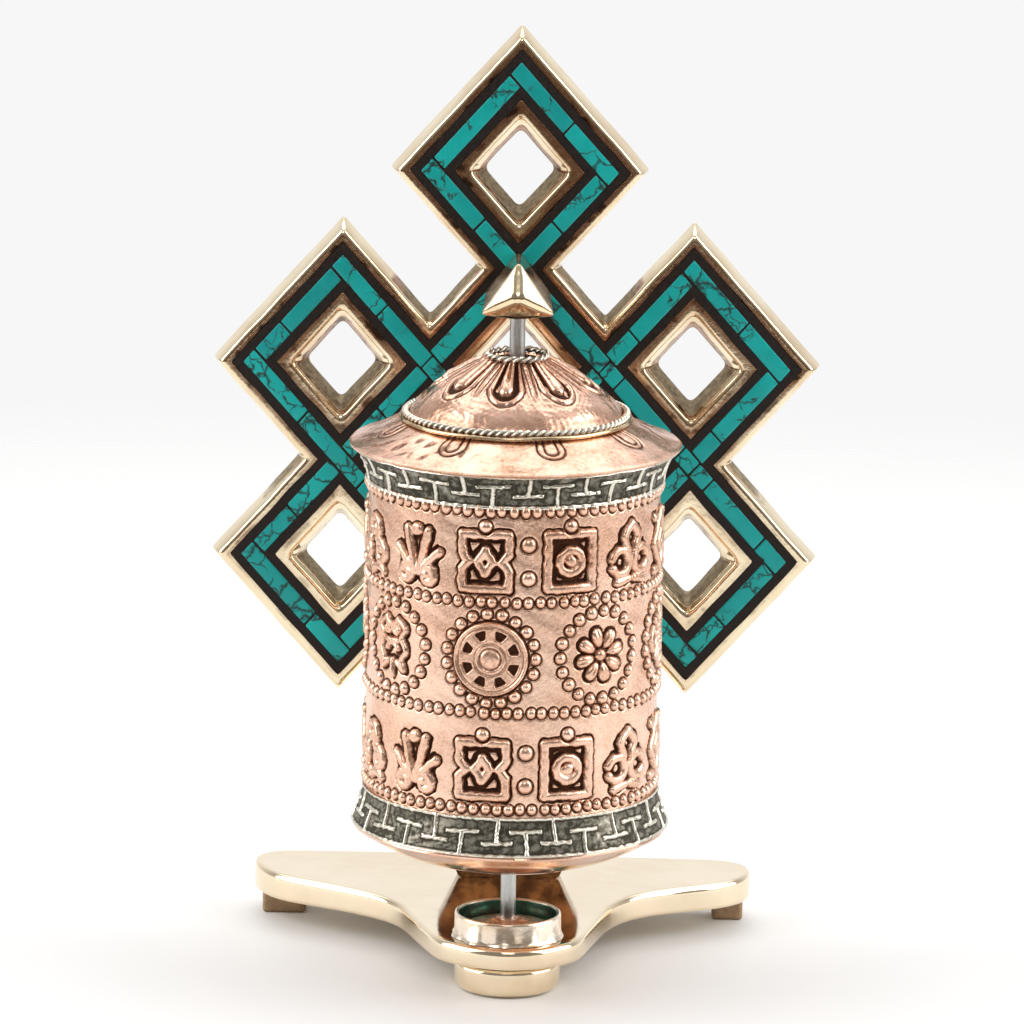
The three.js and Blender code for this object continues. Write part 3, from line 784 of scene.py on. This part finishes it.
# ---------------------------------------------------------------- stand: cup, spindle, foot
def round_solid(name, node, outline, columns, material, wobble):
    """A solid turned about the spindle whose profile starts and ends on the axis, climbing outside."""
    outline = np.array(outline, float)
    rings = outline[1:-1]
    radius = rings[:, :1] * (1 + wobble * ring_waves(angles(columns), 9, 15))
    points = np.vstack([turned_points(radius, rings[:, 1:]), [0, 0, outline[0, 1]], [0, 0, outline[-1, 1]]])
    count = len(rings) * columns
    j = np.arange(columns)
    last = count - columns
    bottom = np.stack([np.full(columns, count), (j + 1) % columns, j], 1)
    top = np.stack([np.full(columns, count + 1), last + j, last + (j + 1) % columns], 1)
    faces = [ring_faces(len(rings), columns, False), bottom, top]
    make_object(name, points, faces, "stand", material, node, None, 40)


def cup_material():
    """Brass outside; the inside is dark green with old lacquer."""
    s = Shader("cup_brass")
    inside = s.attribute("patina")
    speck = s.noise(600, 4, 0.6)
    brass = s.mix(s.span(s.noise(120, 3), 0.4, 0.65), (0.95, 0.83, 0.70, 1), (0.86, 0.68, 0.50, 1))
    green = s.mix(s.span(speck, 0.35, 0.65), (0.02, 0.13, 0.09, 1), (0.05, 0.05, 0.03, 1))
    return s.finish(Base_Color=s.mix(inside, brass, green), Metallic=s.span(inside, 0.0, 1.0, 1.0, 0.55),
                    Roughness=s.span(speck, 0.3, 0.7, 0.12, 0.3), Normal=s.bump(speck, 0.00005, 0.6))


def spindle_cup():
    profile = np.array([(1.0, 10.75), (10.0, 10.75), (11.0, 10.78), (10.72, 11.2), (10.53, 11.6),
                        (10.5, 14.9), (10.42, 15.25), (10.2, 15.42), (9.95, 15.45), (9.72, 15.3),
                        (9.62, 15.0), (9.6, 12.2), (9.55, 11.42), (1.0, 11.42)])
    angle = angles(240)
    seam = np.array([0, 0, 0.25, 0.2, 0.05] + [0.012] * 9)[:, None]
    radius = profile[:, :1] + seam * ring_waves(angle, 12, 19, 8)
    z = profile[:, 1:] + np.array([0, 0, 0, 0.15, 0.1] + [0.0] * 9)[:, None] * ring_waves(angle, 16, 20, 8)
    dark = np.array([0, 0, 0, 0.2, 0.02, 0, 0, 0, 0, 0.3, 1, 1, 1, 1])[:, None] + 0 * angle
    turned("spindle_cup_ring", radius, z, "stand", cup_material(), "spindle_cup",
           {"patina": dark}, 50)


def stand_turnings():
    seat = [(1.56, 11.45), (9.4, 11.45), (9.5, 11.9), (8.6, 12.6), (6.0, 13.3), (3.6, 13.9), (2.7, 14.25),
            (1.56, 14.3)]
    ring = profile_points(seat + seat[:1], 0.6)[:-1]
    angle = angles(96)
    height = ring[:, 1:] + 0.12 * ring_waves(angle, 7, 23) * (ring[:, 1:] > 11.6)
    turned("spindle_seat_mound", ring[:, :1] + 0 * angle, height, "stand", COPPER, "spindle_seat",
           {"patina": 0.25 + 0.25 * smooth(6, 9.4, ring[:, :1]) + 0 * angle}, 50)
    low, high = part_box("spindle")
    bottom, top, r = low.z / MM, high.z / MM, 1.5
    steps = [(r, bottom + t * (top - 1 - bottom)) for t in np.linspace(0, 1, 40)]
    rod = [(0, bottom), (r - 0.3, bottom)] + steps + [(r - 0.25, top - 0.3), (r - 0.6, top), (0, top)]
    round_solid("spindle_rod", "spindle", rod, 48, STEEL, 0.006)
    foot = [(0, 0), (7.5, 0), (8.6, 0.05), (9.4, 0.35), (10.0, 0.9), (10.35, 1.6), (10.5, 2.5), (10.5, 4.9),
            (10.42, 5.5), (10.1, 5.82), (0, 5.88)]
    round_solid("front_foot_turned", "front_foot", foot, 200, BRASS_PLATE, 0.002)


# ---------------------------------------------------------------- stand: plates built from outlines
def rounded(corners, radius, step):
    """A closed outline through corners, each rounded off by `radius`, with a point about every `step`.
    Outlines with the same corners pushed in or out get the same number of points."""
    corners = np.asarray(corners, float)
    after = np.roll(corners, -1, axis=0)
    edge = after - corners
    long = np.linalg.norm(edge, axis=1)[:, None]
    cut = edge / long * np.minimum(radius, 0.4 * long)
    starts, ends = corners + cut, after - cut
    out = []
    for k in range(len(corners)):
        count = step[k] if isinstance(step, list) else max(2, round(long[k, 0] / step))
        t = (np.arange(count) / count)[:, None]
        out.append(starts[k] + (ends[k] - starts[k]) * t)
        t = np.array([[0.0], [0.25], [0.5], [0.75]])
        corner, leave = after[k], starts[(k + 1) % len(corners)]
        out.append((1 - t) ** 2 * ends[k] + 2 * t * (1 - t) * corner + t**2 * leave)
    return np.vstack(out)


def edge_counts(corners, step):
    long = np.linalg.norm(np.roll(corners, -1, axis=0) - np.asarray(corners), axis=1)
    return [max(2, round(d / step)) for d in long]


class Solid:
    """A closed mesh put together from loops of points, walls between loops and flat fills."""

    def __init__(self):
        self.points, self.faces, self.tags, self.total = [], [], [], 0

    def loop(self, flat, y, tag=0.0):
        """Adds a loop of (x, z) points at depth y, and gives their numbers."""
        flat = np.asarray(flat)
        numbers = self.total + np.arange(len(flat))
        self.points.append(np.stack([flat[:, 0], np.broadcast_to(y, len(flat)), flat[:, 1]], 1))
        self.tags.append(np.broadcast_to(tag, len(flat)))
        self.total += len(flat)
        return numbers

    def level(self, flat, z):
        """Adds a loop of (x, y) points at height z, and gives their numbers."""
        numbers = self.loop(flat, flat[:, 1])
        self.points[-1][:, 2] = z
        return numbers

    def walls(self, *loops):
        for near, far in zip(loops[:-1], loops[1:]):
            self.faces.append(np.stack([near, np.roll(near, -1), np.roll(far, -1), far], 1))

    def fill(self, *loops, seen_along=1):
        """Fills the flat region inside the first loop and outside the others. The region is flat across
        the axis `seen_along`."""
        numbers = np.concatenate(loops)
        flat = np.delete(np.vstack(self.points)[numbers], seen_along, axis=1)
        rings = [np.arange(len(ring)) + sum(map(len, loops[:k])) for k, ring in enumerate(loops)]
        before = np.concatenate(rings)
        after = np.concatenate([np.roll(ring, -1) for ring in rings])
        edges = [(int(i), int(j)) for i, j in zip(before, after)]
        found = geometry.delaunay_2d_cdt([Vector(p) for p in flat], edges, [], 1, 1e-5)
        if len(found[0]) != len(flat):
            raise ValueError("an outline crosses itself or another one")
        triangles = np.array(found[2])
        middle = flat[triangles].mean(axis=1)
        inside = np.zeros(len(triangles), bool)
        for (x0, z0), (x1, z1) in zip(flat[before], flat[after]):
            level = (z0 > middle[:, 1]) != (z1 > middle[:, 1])
            rise = (z1 - z0) if z1 != z0 else 1.0
            inside ^= level & (middle[:, 0] < x0 + (middle[:, 1] - z0) * (x1 - x0) / rise)
        self.faces.append(numbers[triangles[inside]])

    def make(self, name, material, node, sharp, tag_name="patina"):
        ob = make_object(name, np.vstack(self.points), self.faces, "stand", material, node,
                         {tag_name: np.concatenate(self.tags)})
        face_outwards(ob.data)
        ob.data.shade_smooth()
        ob.data.set_sharp_from_angle(angle=math.radians(sharp))


def face_outwards(mesh):
    """Turns every face of a closed mesh to look outwards."""
    work = bmesh.new()
    work.from_mesh(mesh)
    bmesh.ops.recalc_face_normals(work, faces=work.faces)
    work.to_mesh(mesh)
    work.free()


# ---------------------------------------------------------------- stand: knot panel
UNDERSIDE, UNDERSIDE_SLOPE, UNDERSIDE_FROM = 6.5, 0.022, -13  # the base plate thickens towards the back
PANEL_FRONT, PANEL_BACK = (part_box("knot_frame")[i].y / MM for i in (0, 1))
PLATE_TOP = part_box("base_plate")[1].z / MM
KNOT_TOP = 175.35  # the lattice that the knot is drawn on, as in the CAD
STEP_X, STEP_Z = 17.53, 19.65
PITCH = 2 * STEP_X * STEP_Z / math.hypot(STEP_X, STEP_Z)
FRAME_FRONT, FRAME_BACK = 0.203, 0.241
HOLE_FRONT, HOLE_BACK = 0.222, 0.3
CHANNEL_HALF, CHANNEL_DEPTH = 3.4, 1.2
STONE_HALF, STONE_DEPTH = 1.62, 0.9
PLINTH = [(14.2, 19.5), (10.0, PLATE_TOP)]  # its shoulder and its foot
# the right half of the knot's outline: lattice points, and the ways in which each is pushed outwards
OUTLINE = [(0, 0, -1, -1), (1, 0, 1, -1), (1, 1, 1, -1), (2, 1, -1, -1), (2, 0, -1, -1), (3, 0, 1, -1),
           (3, 1, 1, -1), (4, 1, 1, -1), (4, 2, 1, 1), (3, 2, 1, 1), (3, 3, 1, -1), (4, 3, 1, -1),
           (4, 4, 1, 1)]
HOLES = [(0, 0), (0, 2), (2, 0), (1, 1), (1, 2), (2, 1), (2, 2), (1, 3), (3, 1), (3, 3)]
BARS_OVER = [(0, 0, 1), (0, 2, 3), (1, 0, 4), (2, 0, 4), (3, 0, 4), (4, 1, 2), (4, 3, 4)]
BARS_UNDER = [(0, (0, 2)), (1, (0, 1, 2, 3)), (2, (0, 1, 2, 3)), (3, (0, 1, 2, 3)), (4, (1, 3))]


def place(u, v):
    """A point of the slanting lattice: u counts steps down to the right, v steps down to the left."""
    return ((u - v) * STEP_X, KNOT_TOP - (u + v) * STEP_Z)


def knot_outline(push):
    right = [(u + su * push, v + sv * push) for u, v, su, sv in OUTLINE]
    left = [(v, u) for u, v in right[1:-1][::-1]]
    return [place(u, v) for u, v in right + left]


def with_plinth(corners):
    """The same outline with the plinth in place of its lowest corner."""
    low = len(OUTLINE) - 1
    side = [(PLINTH[0][0], corners[low][1] + PLINTH[0][0] * STEP_Z / STEP_X)] + PLINTH
    return corners[:low] + side + [(-x, z) for x, z in side[::-1]] + corners[low + 1 :]


def hole_outline(cell, inset):
    u, v = cell
    a, b = inset, 1 - inset
    return [place(u + a, v + a), place(u + b, v + a), place(u + b, v + b), place(u + a, v + b)]


def wavy(flat, amount, seed):
    """Moves an outline's points a little, as filed and hammered edges are uneven."""
    flat = np.asarray(flat)
    x, z = flat[:, 0], flat[:, 1]
    return flat + amount * np.stack([waves(x, z, 11, seed), waves(x, z, 11, seed + 1)], 1)


def cast_skin(flat, within, seed):
    """How rough a side wall is at each of its points, from 0 to 1: as cast where it faces up in a hole or
    near one of the outline's inward corners, and polished elsewhere."""
    flat = np.asarray(flat)
    way = np.roll(flat, -3, 0) - np.roll(flat, 3, 0)
    way /= np.linalg.norm(way, axis=1)[:, None] + 1e-9
    spin = np.sign(np.sum(flat[:, 0] * np.roll(flat[:, 1], -1) - flat[:, 1] * np.roll(flat[:, 0], -1)))
    up = -way[:, 0] * spin * (-1 if within else 1)
    rough = smooth(0.1, 0.4, up)
    if not within:
        nearest = np.min([np.hypot(*(flat - corner).T) for corner in INWARD_CORNERS], axis=0)
        rough = rough * (1 - smooth(7.0, 13.0, nearest))
    return np.clip(rough * (0.85 + 0.15 * waves(flat[:, 0], flat[:, 1], 3.0, seed)), 0, 1)


def inward_corners():
    corners = np.array(knot_outline(FRAME_FRONT))
    before, after = corners - np.roll(corners, 1, 0), np.roll(corners, -1, 0) - corners
    bend = before[:, 0] * after[:, 1] - before[:, 1] * after[:, 0]
    return corners[bend > 0]  # the outline runs clockwise


INWARD_CORNERS = inward_corners()


def knot_frame():
    solid = Solid()
    floor = PANEL_FRONT + CHANNEL_DEPTH
    channel = CHANNEL_HALF / PITCH
    edge = [(-1.1, 0), (-0.75, 0), (-0.42, 0.1), (-0.14, 0.4), (0, 0.95)]  # mm past the edge, mm back

    def layers(corners_at, front, back, corner, seed, within):
        """Loops from the flat front face over its rounded edge and down the side wall to the back."""
        counts = edge_counts(corners_at(front), 2.0)
        thick = PANEL_BACK - PANEL_FRONT
        levels = [(front + past / PITCH, deep, 0.0) for past, deep in edge]
        levels += [(front + (back - front) * t, thick * t, 1.0) for t in (0.3, 0.65, 0.94)]
        levels += [(back - 0.25 / PITCH, thick - 0.15, 0.0), (back - 0.8 / PITCH, thick, 0.0)]
        loops = []
        for push, deep, rough in levels:
            flat = wavy(rounded(corners_at(push), corner, counts), 0.05, seed)
            skin = cast_skin(flat, within, seed) * rough
            if rough and within:
                skin = np.maximum(skin, 0.55 * smooth(0.2, 0.9, deep / thick))
            loops.append(solid.loop(flat, PANEL_FRONT + deep, skin))
        solid.walls(*loops)
        return loops

    def channel_wall(corners_at, seed):
        """The channel's wall, from its floor up to the front face, with its upper edge broken."""
        counts = edge_counts(corners_at(channel), 1.2)
        loops = []
        for past, y in ((0, floor), (0, PANEL_FRONT + 0.12), (0.09, PANEL_FRONT), (0.25, PANEL_FRONT)):
            flat = rounded(corners_at(channel + past / PITCH), 0.4, counts)
            loops.append(solid.loop(wavy(flat, 0.07, seed), y, 0.3))
        solid.walls(*loops)
        return loops

    outer = layers(lambda push: with_plinth(knot_outline(push)), FRAME_FRONT, FRAME_BACK, 0.8, 51, False)
    groove = channel_wall(knot_outline, 61)
    solid.fill(outer[0], groove[-1])
    floors, backs = [groove[0]], [outer[-1]]
    for i, cell in enumerate(HOLES):
        inner = layers(lambda inset: hole_outline(cell, inset), HOLE_FRONT, HOLE_BACK, 1.5, 71 + 2 * i, True)
        lip = channel_wall(lambda inset: hole_outline(cell, inset), 101 + 2 * i)
        solid.fill(lip[-1], inner[0])
        floors.append(lip[0])
        backs.append(inner[-1])
    solid.fill(*floors)
    solid.fill(*backs)
    solid.make("knot_frame_polished", panel_brass(), "knot_frame", 35)


# ---------------------------------------------------------------- stand: inlay
GROUT = 0.34  # between the stones of a bar
END_GROUT = 0.42  # where a bar stops at the side of another
POCKET_SLACK = 0.03
BED_FACE = 0.09  # how far the lac lies behind the panel's front face


def bar_lines():
    """Each inlaid bar as its CAD node and its two ends, in lattice steps."""
    half = STONE_HALF / PITCH
    found = []
    for i, (v, first, last) in enumerate(BARS_OVER):
        found.append((f"inlay_over_{i + 1}", (first - half, v), (last + half, v)))
    number = 0
    for u, starts in BARS_UNDER:
        for v in starts:
            number += 1
            found.append((f"inlay_under_{number}", (u, v + half), (u, v + 1 - half)))
    return found


class Stone:
    """One stone of the inlay: a strip between two points with slightly uneven corners."""

    def __init__(self, start, end, rng):
        self.start, self.end = np.array(start), np.array(end)
        along = self.end - self.start
        self.long = float(np.linalg.norm(along))
        self.along = along / self.long
        # bars cross at the lattice's own angle, so a stone's ends are cut parallel to the crossing bar
        self.across = np.array([-self.along[0], self.along[1]])
        slant = math.sin(math.acos(float(self.across @ self.along)))
        self.width = STONE_HALF / slant + rng.uniform(-0.08, 0.05)
        self.skew = rng.uniform(-0.08, 0.08, (4, 2))
        self.tone = rng.uniform(0, 1)
        self.lift = rng.uniform(-0.03, 0.03)

    def corners(self, grow):
        near, far = -grow, self.long + grow
        half = self.width + grow
        spots = [(near, -half), (far, -half), (far, half), (near, half)]
        return [self.start + self.along * (a + da) + self.across * (b + db * 0.6)
                for (a, b), (da, db) in zip(spots, self.skew)]

    def loop(self, grow):
        return rounded(self.corners(grow), 0.3, [8, 3, 8, 3])


def lay_stones():
    """Cuts each bar into stones. Gives (node name, its stones) pairs."""
    rng = np.random.default_rng(29)
    rows = []
    for node, start, end in bar_lines():
        a, b = np.array(place(*start)), np.array(place(*end))
        long = float(np.linalg.norm(b - a))
        end_gap = END_GROUT if "under" in node else 0.0
        cuts, at = [0.0], 0.0
        while long - at > 19:
            at += rng.choice([rng.uniform(4, 5.5), rng.uniform(12, 20)], p=[0.25, 0.75])
            if long - at > 4:
                cuts.append(at)
        cuts.append(long)
        way = (b - a) / long
        row = []
        for k, (low, high) in enumerate(zip(cuts[:-1], cuts[1:])):
            low += GROUT / 2 if k else end_gap
            high -= GROUT / 2 if high < long else end_gap
            row.append(Stone(a + way * low, a + way * high, rng))
        rows.append((node, row))
    return rows


def inlay():
    bed = Solid()
    channel = (CHANNEL_HALF - 0.04) / PITCH
    front, floor = PANEL_FRONT + BED_FACE, PANEL_FRONT + CHANNEL_DEPTH - 0.03

    def edge_loops(corners):
        flat = rounded(corners, 0.4, 1.2)
        return [bed.loop(flat, floor), bed.loop(flat, front)]

    rims = [edge_loops(knot_outline(channel))] + [edge_loops(hole_outline(cell, channel)) for cell in HOLES]
    pockets = []
    for node, row in lay_stones():
        solid = Solid()
        for stone in row:
            mouth = bed.loop(stone.loop(POCKET_SLACK), front)
            deep = bed.loop(stone.loop(POCKET_SLACK), PANEL_FRONT + STONE_DEPTH + POCKET_SLACK)
            bed.walls(mouth, deep)
            bed.fill(deep)
            pockets.append(mouth)
            face = PANEL_FRONT + stone.lift
            levels = [(0, PANEL_FRONT + STONE_DEPTH), (0, face + 0.2), (-0.06, face + 0.06), (-0.2, face),
                      (-0.5, face - 0.02)]
            loops = [solid.loop(stone.loop(grow), y, stone.tone) for grow, y in levels]
            solid.walls(*loops)
            solid.fill(loops[0])
            solid.fill(loops[-1])
        solid.make(node.replace("inlay", "turquoise"), TURQUOISE, node, 60, "tone")
    for rim in rims:
        bed.walls(*rim)
    bed.fill(*[deep for deep, mouth in rims])
    bed.fill(*[mouth for deep, mouth in rims], *pockets)
    bed.make("lac_bed", BLACK_LAC, "inlay_bed", 40)


# ---------------------------------------------------------------- stand: base plate, feet and arm
def node_outline(node, level):
    """The outline of a CAD node's flat face at height `level`, in mm, in order."""
    mesh = frame["nodes"][node].data
    points = np.empty(len(mesh.vertices) * 3)
    mesh.vertices.foreach_get("co", points)
    points = points.reshape(-1, 3) / MM
    on = np.abs(points[:, 2] - level) < 0.01
    keys = [tuple(np.round(p, 3)) for p in points[:, :2]]
    used, links = {}, {}
    for face in mesh.polygons:
        ring = list(face.vertices)
        if not all(on[i] for i in ring):
            continue
        for a, b in zip(ring, ring[1:] + ring[:1]):
            edge = (keys[a], keys[b])
            used[edge] = used.get(edge, 0) + 1
    for a, b in used:
        if (b, a) not in used:
            links[a] = b
    start = min(links)
    ordered, at = [start], links[start]
    while at != start:
        ordered.append(at)
        at = links[at]
    return np.array(ordered)


def smooth_closed(points, count, passes=4):
    """A closed outline made even and smooth, with `count` points."""
    for _ in range(passes):
        points = (np.roll(points, 1, 0) + 2 * points + np.roll(points, -1, 0)) / 4 * 0.5 + points * 0.5
    closed = np.vstack([points, points[:1]])
    along = distances(closed)
    want = np.linspace(0, along[-1], count, endpoint=False)
    return np.stack([np.interp(want, along, closed[:, i]) for i in (0, 1)], 1)


def base_plate():
    plan = smooth_closed(node_outline("base_plate", PLATE_TOP), 480)
    for _ in range(5):
        plan = (np.roll(plan, 1, 0) + plan + np.roll(plan, -1, 0)) / 3
    way = np.roll(plan, -1, 0) - np.roll(plan, 1, 0)
    way /= np.linalg.norm(way, axis=1)[:, None]
    out = np.stack([way[:, 1], -way[:, 0]], 1)
    if np.sum(plan[:, 0] * np.roll(plan[:, 1], -1) - plan[:, 1] * np.roll(plan[:, 0], -1)) < 0:
        out = -out
    solid = Solid()
    # the rounded rim as distances inwards from the plan and from the underside, then from the top
    low_rim = [(1.6, 0), (0.9, 0), (0.35, 0.12), (0.06, 0.45), (0, 0.9)]
    high_rim = [(0, 1.5), (0.05, 0.9), (0.2, 0.45), (0.5, 0.15), (0.95, 0.02), (1.5, 0), (2.6, 0), (4.0, 0)]
    ease = 0.12 * waves(plan[:, 0], plan[:, 1], 30, 33)[:, None]
    loops = []
    for rim in (low_rim, high_rim):
        for inwards, off in rim:
            flat = plan + out * (ease * (1 if off > 0.1 else 0.6) - inwards)
            under = UNDERSIDE + 0.03 - UNDERSIDE_SLOPE * (flat[:, 1] - UNDERSIDE_FROM)
            loops.append(solid.level(flat, under + off if rim is low_rim else PLATE_TOP - off))
    solid.walls(*loops)
    solid.fill(loops[0], seen_along=2)
    solid.fill(loops[-1], seen_along=2)
    solid.make("base_plate_cast", BRASS_PLATE, "base_plate", 35)


def rough_block(name, node):
    """A roughly cast and filed block in the place of a plain one."""
    low, high = (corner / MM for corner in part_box(node))
    size = high - low
    work = bmesh.new()
    bmesh.ops.create_cube(work, size=1.0)
    bmesh.ops.scale(work, vec=size, verts=work.verts)
    bmesh.ops.translate(work, vec=(low + high) / 2, verts=work.verts)
    bmesh.ops.bevel(work, geom=work.edges[:], offset=0.7, segments=3, profile=0.5, affect="EDGES")
    long_edges = [e for e in work.edges if e.calc_length() > 1.5]
    bmesh.ops.subdivide_edges(work, edges=long_edges, cuts=7, use_grid_fill=True)
    for vertex in work.verts:
        x, y, z = vertex.co
        middle = (low + high) / 2
        shift = 0.1 * waves(np.array(x + z * 0.7), np.array(y - z * 0.4), 3.0, 37)
        inward = 1 - 0.02 - float(shift) * 0.05
        if low.z + 0.05 < z < high.z - 0.05:
            vertex.co.x = middle.x + (x - middle.x) * inward
            vertex.co.y = middle.y + (y - middle.y) * inward
    bmesh.ops.triangulate(work, faces=work.faces)
    bmesh.ops.scale(work, vec=(MM, MM, MM), verts=work.verts)
    mesh = bpy.data.meshes.new(name)
    work.to_mesh(mesh)
    work.free()
    add_piece(name, mesh, "stand", ROUGH_BRASS, node, 50)


def under_block():
    """The rough pad under the middle of the plate, with its edges worn round."""
    low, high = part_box("under_block")
    bottom, top = low.z / MM, high.z / MM
    plan = smooth_closed(node_outline("under_block", bottom), 200, 8)
    middle = plan.mean(axis=0)
    uneven = np.abs(0.006 * waves(plan[:, 0], plan[:, 1], 6.0, 39)[:, None])
    levels = [(0.06, bottom), (0.03, bottom + 0.1), (0.005, bottom + 0.5), (0.005, top - 0.3), (0.02, top)]
    solid = Solid()
    loops = [solid.level(middle + (plan - middle) * (1 - inwards - uneven), z) for inwards, z in levels]
    solid.walls(*loops)
    solid.fill(loops[0], seen_along=2)
    solid.fill(loops[-1], seen_along=2)
    solid.make("under_block_cast", ROUGH_BRASS, "under_block", 50)


def top_arm():
    front, back, tip_y = -6.0, PANEL_FRONT, -10.0
    points = [(0, front, 146.6), (-7.3, front, 135.9), (7.3, front, 135.9), (0, front + 0.8, 134.9),
              (0, tip_y, 139.9),
              (0, back, 139.9), (-6.8, back, 131.2), (6.8, back, 131.2), (0, back, 130.2)]
    faces = [(0, 1, 4), (0, 4, 2), (1, 3, 4), (3, 2, 4), (0, 5, 6, 1), (0, 2, 7, 5), (1, 6, 8, 3),
             (3, 8, 7, 2), (5, 7, 8, 6)]
    # how wide each edge is rounded, in mm
    widths = {(0, 4): 2.1, (1, 4): 1.9, (2, 4): 1.9, (0, 1): 0.55, (0, 2): 0.55, (1, 3): 0.9, (2, 3): 0.9,
              (0, 5): 1.2, (1, 6): 1.0, (2, 7): 1.0, (3, 8): 0.8}
    groups = [np.array([f for f in faces if len(f) == n]) for n in (3, 4)]
    # painted reflection: the dark at the lower front corner, fading towards the side corners, stands in for
    # the dark reflections in the lower ridges; the back corners, against the panel, are darker too
    patina = [0.05, 0.0, 0.0, 0.55, 0.0, 0.5, 0.3, 0.3, 0.4]
    ob = make_object("top_arm_cast", points, groups, "stand", BRASS, "top_arm", {"patina": patina})
    face_outwards(ob.data)
    widest = max(widths.values())
    weights = ob.data.attributes.new("bevel_weight_edge", "FLOAT", "EDGE")
    for edge in ob.data.edges:
        weights.data[edge.index].value = widths.get(tuple(sorted(edge.vertices)), 0.0) / widest
    bevel = ob.modifiers.new("rounded edges", "BEVEL")
    bevel.limit_method = "WEIGHT"
    bevel.width = widest * MM
    bevel.segments = 6
    ob.data.shade_smooth()
    ob.data.set_sharp_from_angle(angle=math.radians(80))
    shade = ob.modifiers.new("even shading", "WEIGHTED_NORMAL")
    shade.keep_sharp = True


# ---------------------------------------------------------------- camera, lights and floor
CAMERA_ELEVATION = math.radians(12.05)
CAMERA_ROLL = math.radians(0.95)
CAMERA_DISTANCE = 1501.5
CAMERA_AIM = (-0.5, 0.0, 95.85)


def camera():
    data = bpy.data.cameras.new("camera")
    data.lens = 270.7
    data.sensor_width = 36
    data.clip_end = 50
    ob = add("camera", data)
    bpy.context.scene.camera = ob
    forward = Vector((0, math.cos(CAMERA_ELEVATION), -math.sin(CAMERA_ELEVATION)))
    up = Vector((0, math.sin(CAMERA_ELEVATION), math.cos(CAMERA_ELEVATION)))
    right = Vector((1, 0, 0))
    cosine, sine = math.cos(CAMERA_ROLL), math.sin(CAMERA_ROLL)
    turned_right = right * cosine + up * sine
    turned_up = up * cosine - right * sine
    turn = Matrix((turned_right, turned_up, -forward)).transposed().to_4x4()
    spot = (Vector(CAMERA_AIM) - forward * CAMERA_DISTANCE) * MM
    ob.matrix_world = Matrix.Translation(spot) @ turn


def softbox(name, azimuth, elevation, distance, width, height, power):
    """An area light in metres and watts, at an azimuth counted from the front towards +X."""
    a, e = math.radians(azimuth), math.radians(elevation)
    away = Vector((math.sin(a) * math.cos(e), -math.cos(a) * math.cos(e), math.sin(e)))
    data = bpy.data.lights.new(name, "AREA")
    data.shape = "RECTANGLE"
    data.size, data.size_y = width, height
    data.energy = power
    ob = add(name, data)
    ob.location = Vector((0, 0, 0.09)) + away * distance  # it looks at the object's middle
    ob.rotation_euler = away.to_track_quat("Z", "Y").to_euler()


def world():
    made = bpy.data.worlds.new("studio")
    bpy.context.scene.world = made
    made.use_nodes = True
    s = Nodes(made.node_tree)
    direction = s.node("SeparateXYZ", 2, i0=s.node("TexCoord", out="Generated"))
    ahead = direction.node.outputs[1]
    ramp = s.node("ValToRGB", i0=s.span(direction, -1.0, 1.0))
    stops = [(0.0, (0.10, 0.05, 0.03)), (0.485, (0.20, 0.10, 0.06)), (0.515, (0.55, 0.53, 0.50)),
             (0.75, (0.42, 0.41, 0.40)), (1.0, (0.75, 0.75, 0.75))]
    elements = ramp.node.color_ramp.elements
    elements[0].position, elements[1].position = stops[0][0], stops[-1][0]
    for position, colour in stops[1:-1]:
        elements.new(position)
    for element, (position, colour) in zip(elements, stops):
        element.position = position
        element.color = (*colour, 1)
    bright = s.mix(s.span(ahead, 0.45, 0.95), ramp, (1.0, 1.0, 1.0, 1))  # the wall behind is paler
    front = s.span(ahead, -0.75, -0.2, 0.45, 1.0)  # and the room in front dim
    dimmed = s.mix(front, (0.05, 0.035, 0.025, 1), bright)
    seen = s.node("LightPath", out="Is Camera Ray")
    s.give(s.tree.nodes["Background"].inputs[0], s.mix(seen, dimmed, (0.93, 0.93, 0.93, 1)))


def floor():
    """A pale table top that fades out into the pale surroundings."""
    rings = np.array([0.001, 200, 400, 640])[:, None] + 0 * angles(96)
    mesh = bpy.data.meshes.new("floor")
    mesh.from_pydata((turned_points(rings, 0 * rings) * MM).tolist(), [], ring_faces(4, 96, False).tolist())
    s = Shader("floor")
    distance = s.node("VectorMath", 1, {"operation": "LENGTH"}, i0=s.place())
    fade = s.span(distance, 0.40, 0.60)
    s.finish(Base_Color=(0.80, 0.80, 0.795, 1), Roughness=0.6, Specular_IOR_Level=0.2,
             Alpha=s.math("SUBTRACT", 1.0, fade, clamp=True))
    mesh.materials.append(s.material)
    add("floor", mesh)


camera()
world()
softbox("left softbox", -82, 25, 1.1, 1.0, 1.1, 10)
softbox("right softbox", 82, 25, 1.1, 1.0, 1.1, 10)
softbox("top softbox", 180, 62, 1.2, 1.4, 1.0, 6)
softbox("front fill", 0, 38, 1.8, 0.7, 0.7, 4)
floor()

drum_shell()
drum_fittings()
spindle_cup()
stand_turnings()
base_plate()
for side in ("rear_foot_left", "rear_foot_right"):
    rough_block(side + "_cast", side)
under_block()
knot_frame()
inlay()
top_arm()
for node_name, inner_material in INSIDE.items():
    for material_slot in frame["nodes"][node_name].material_slots:
        material_slot.material = inner_material

bpy.context.scene.view_settings.view_transform = "Standard"
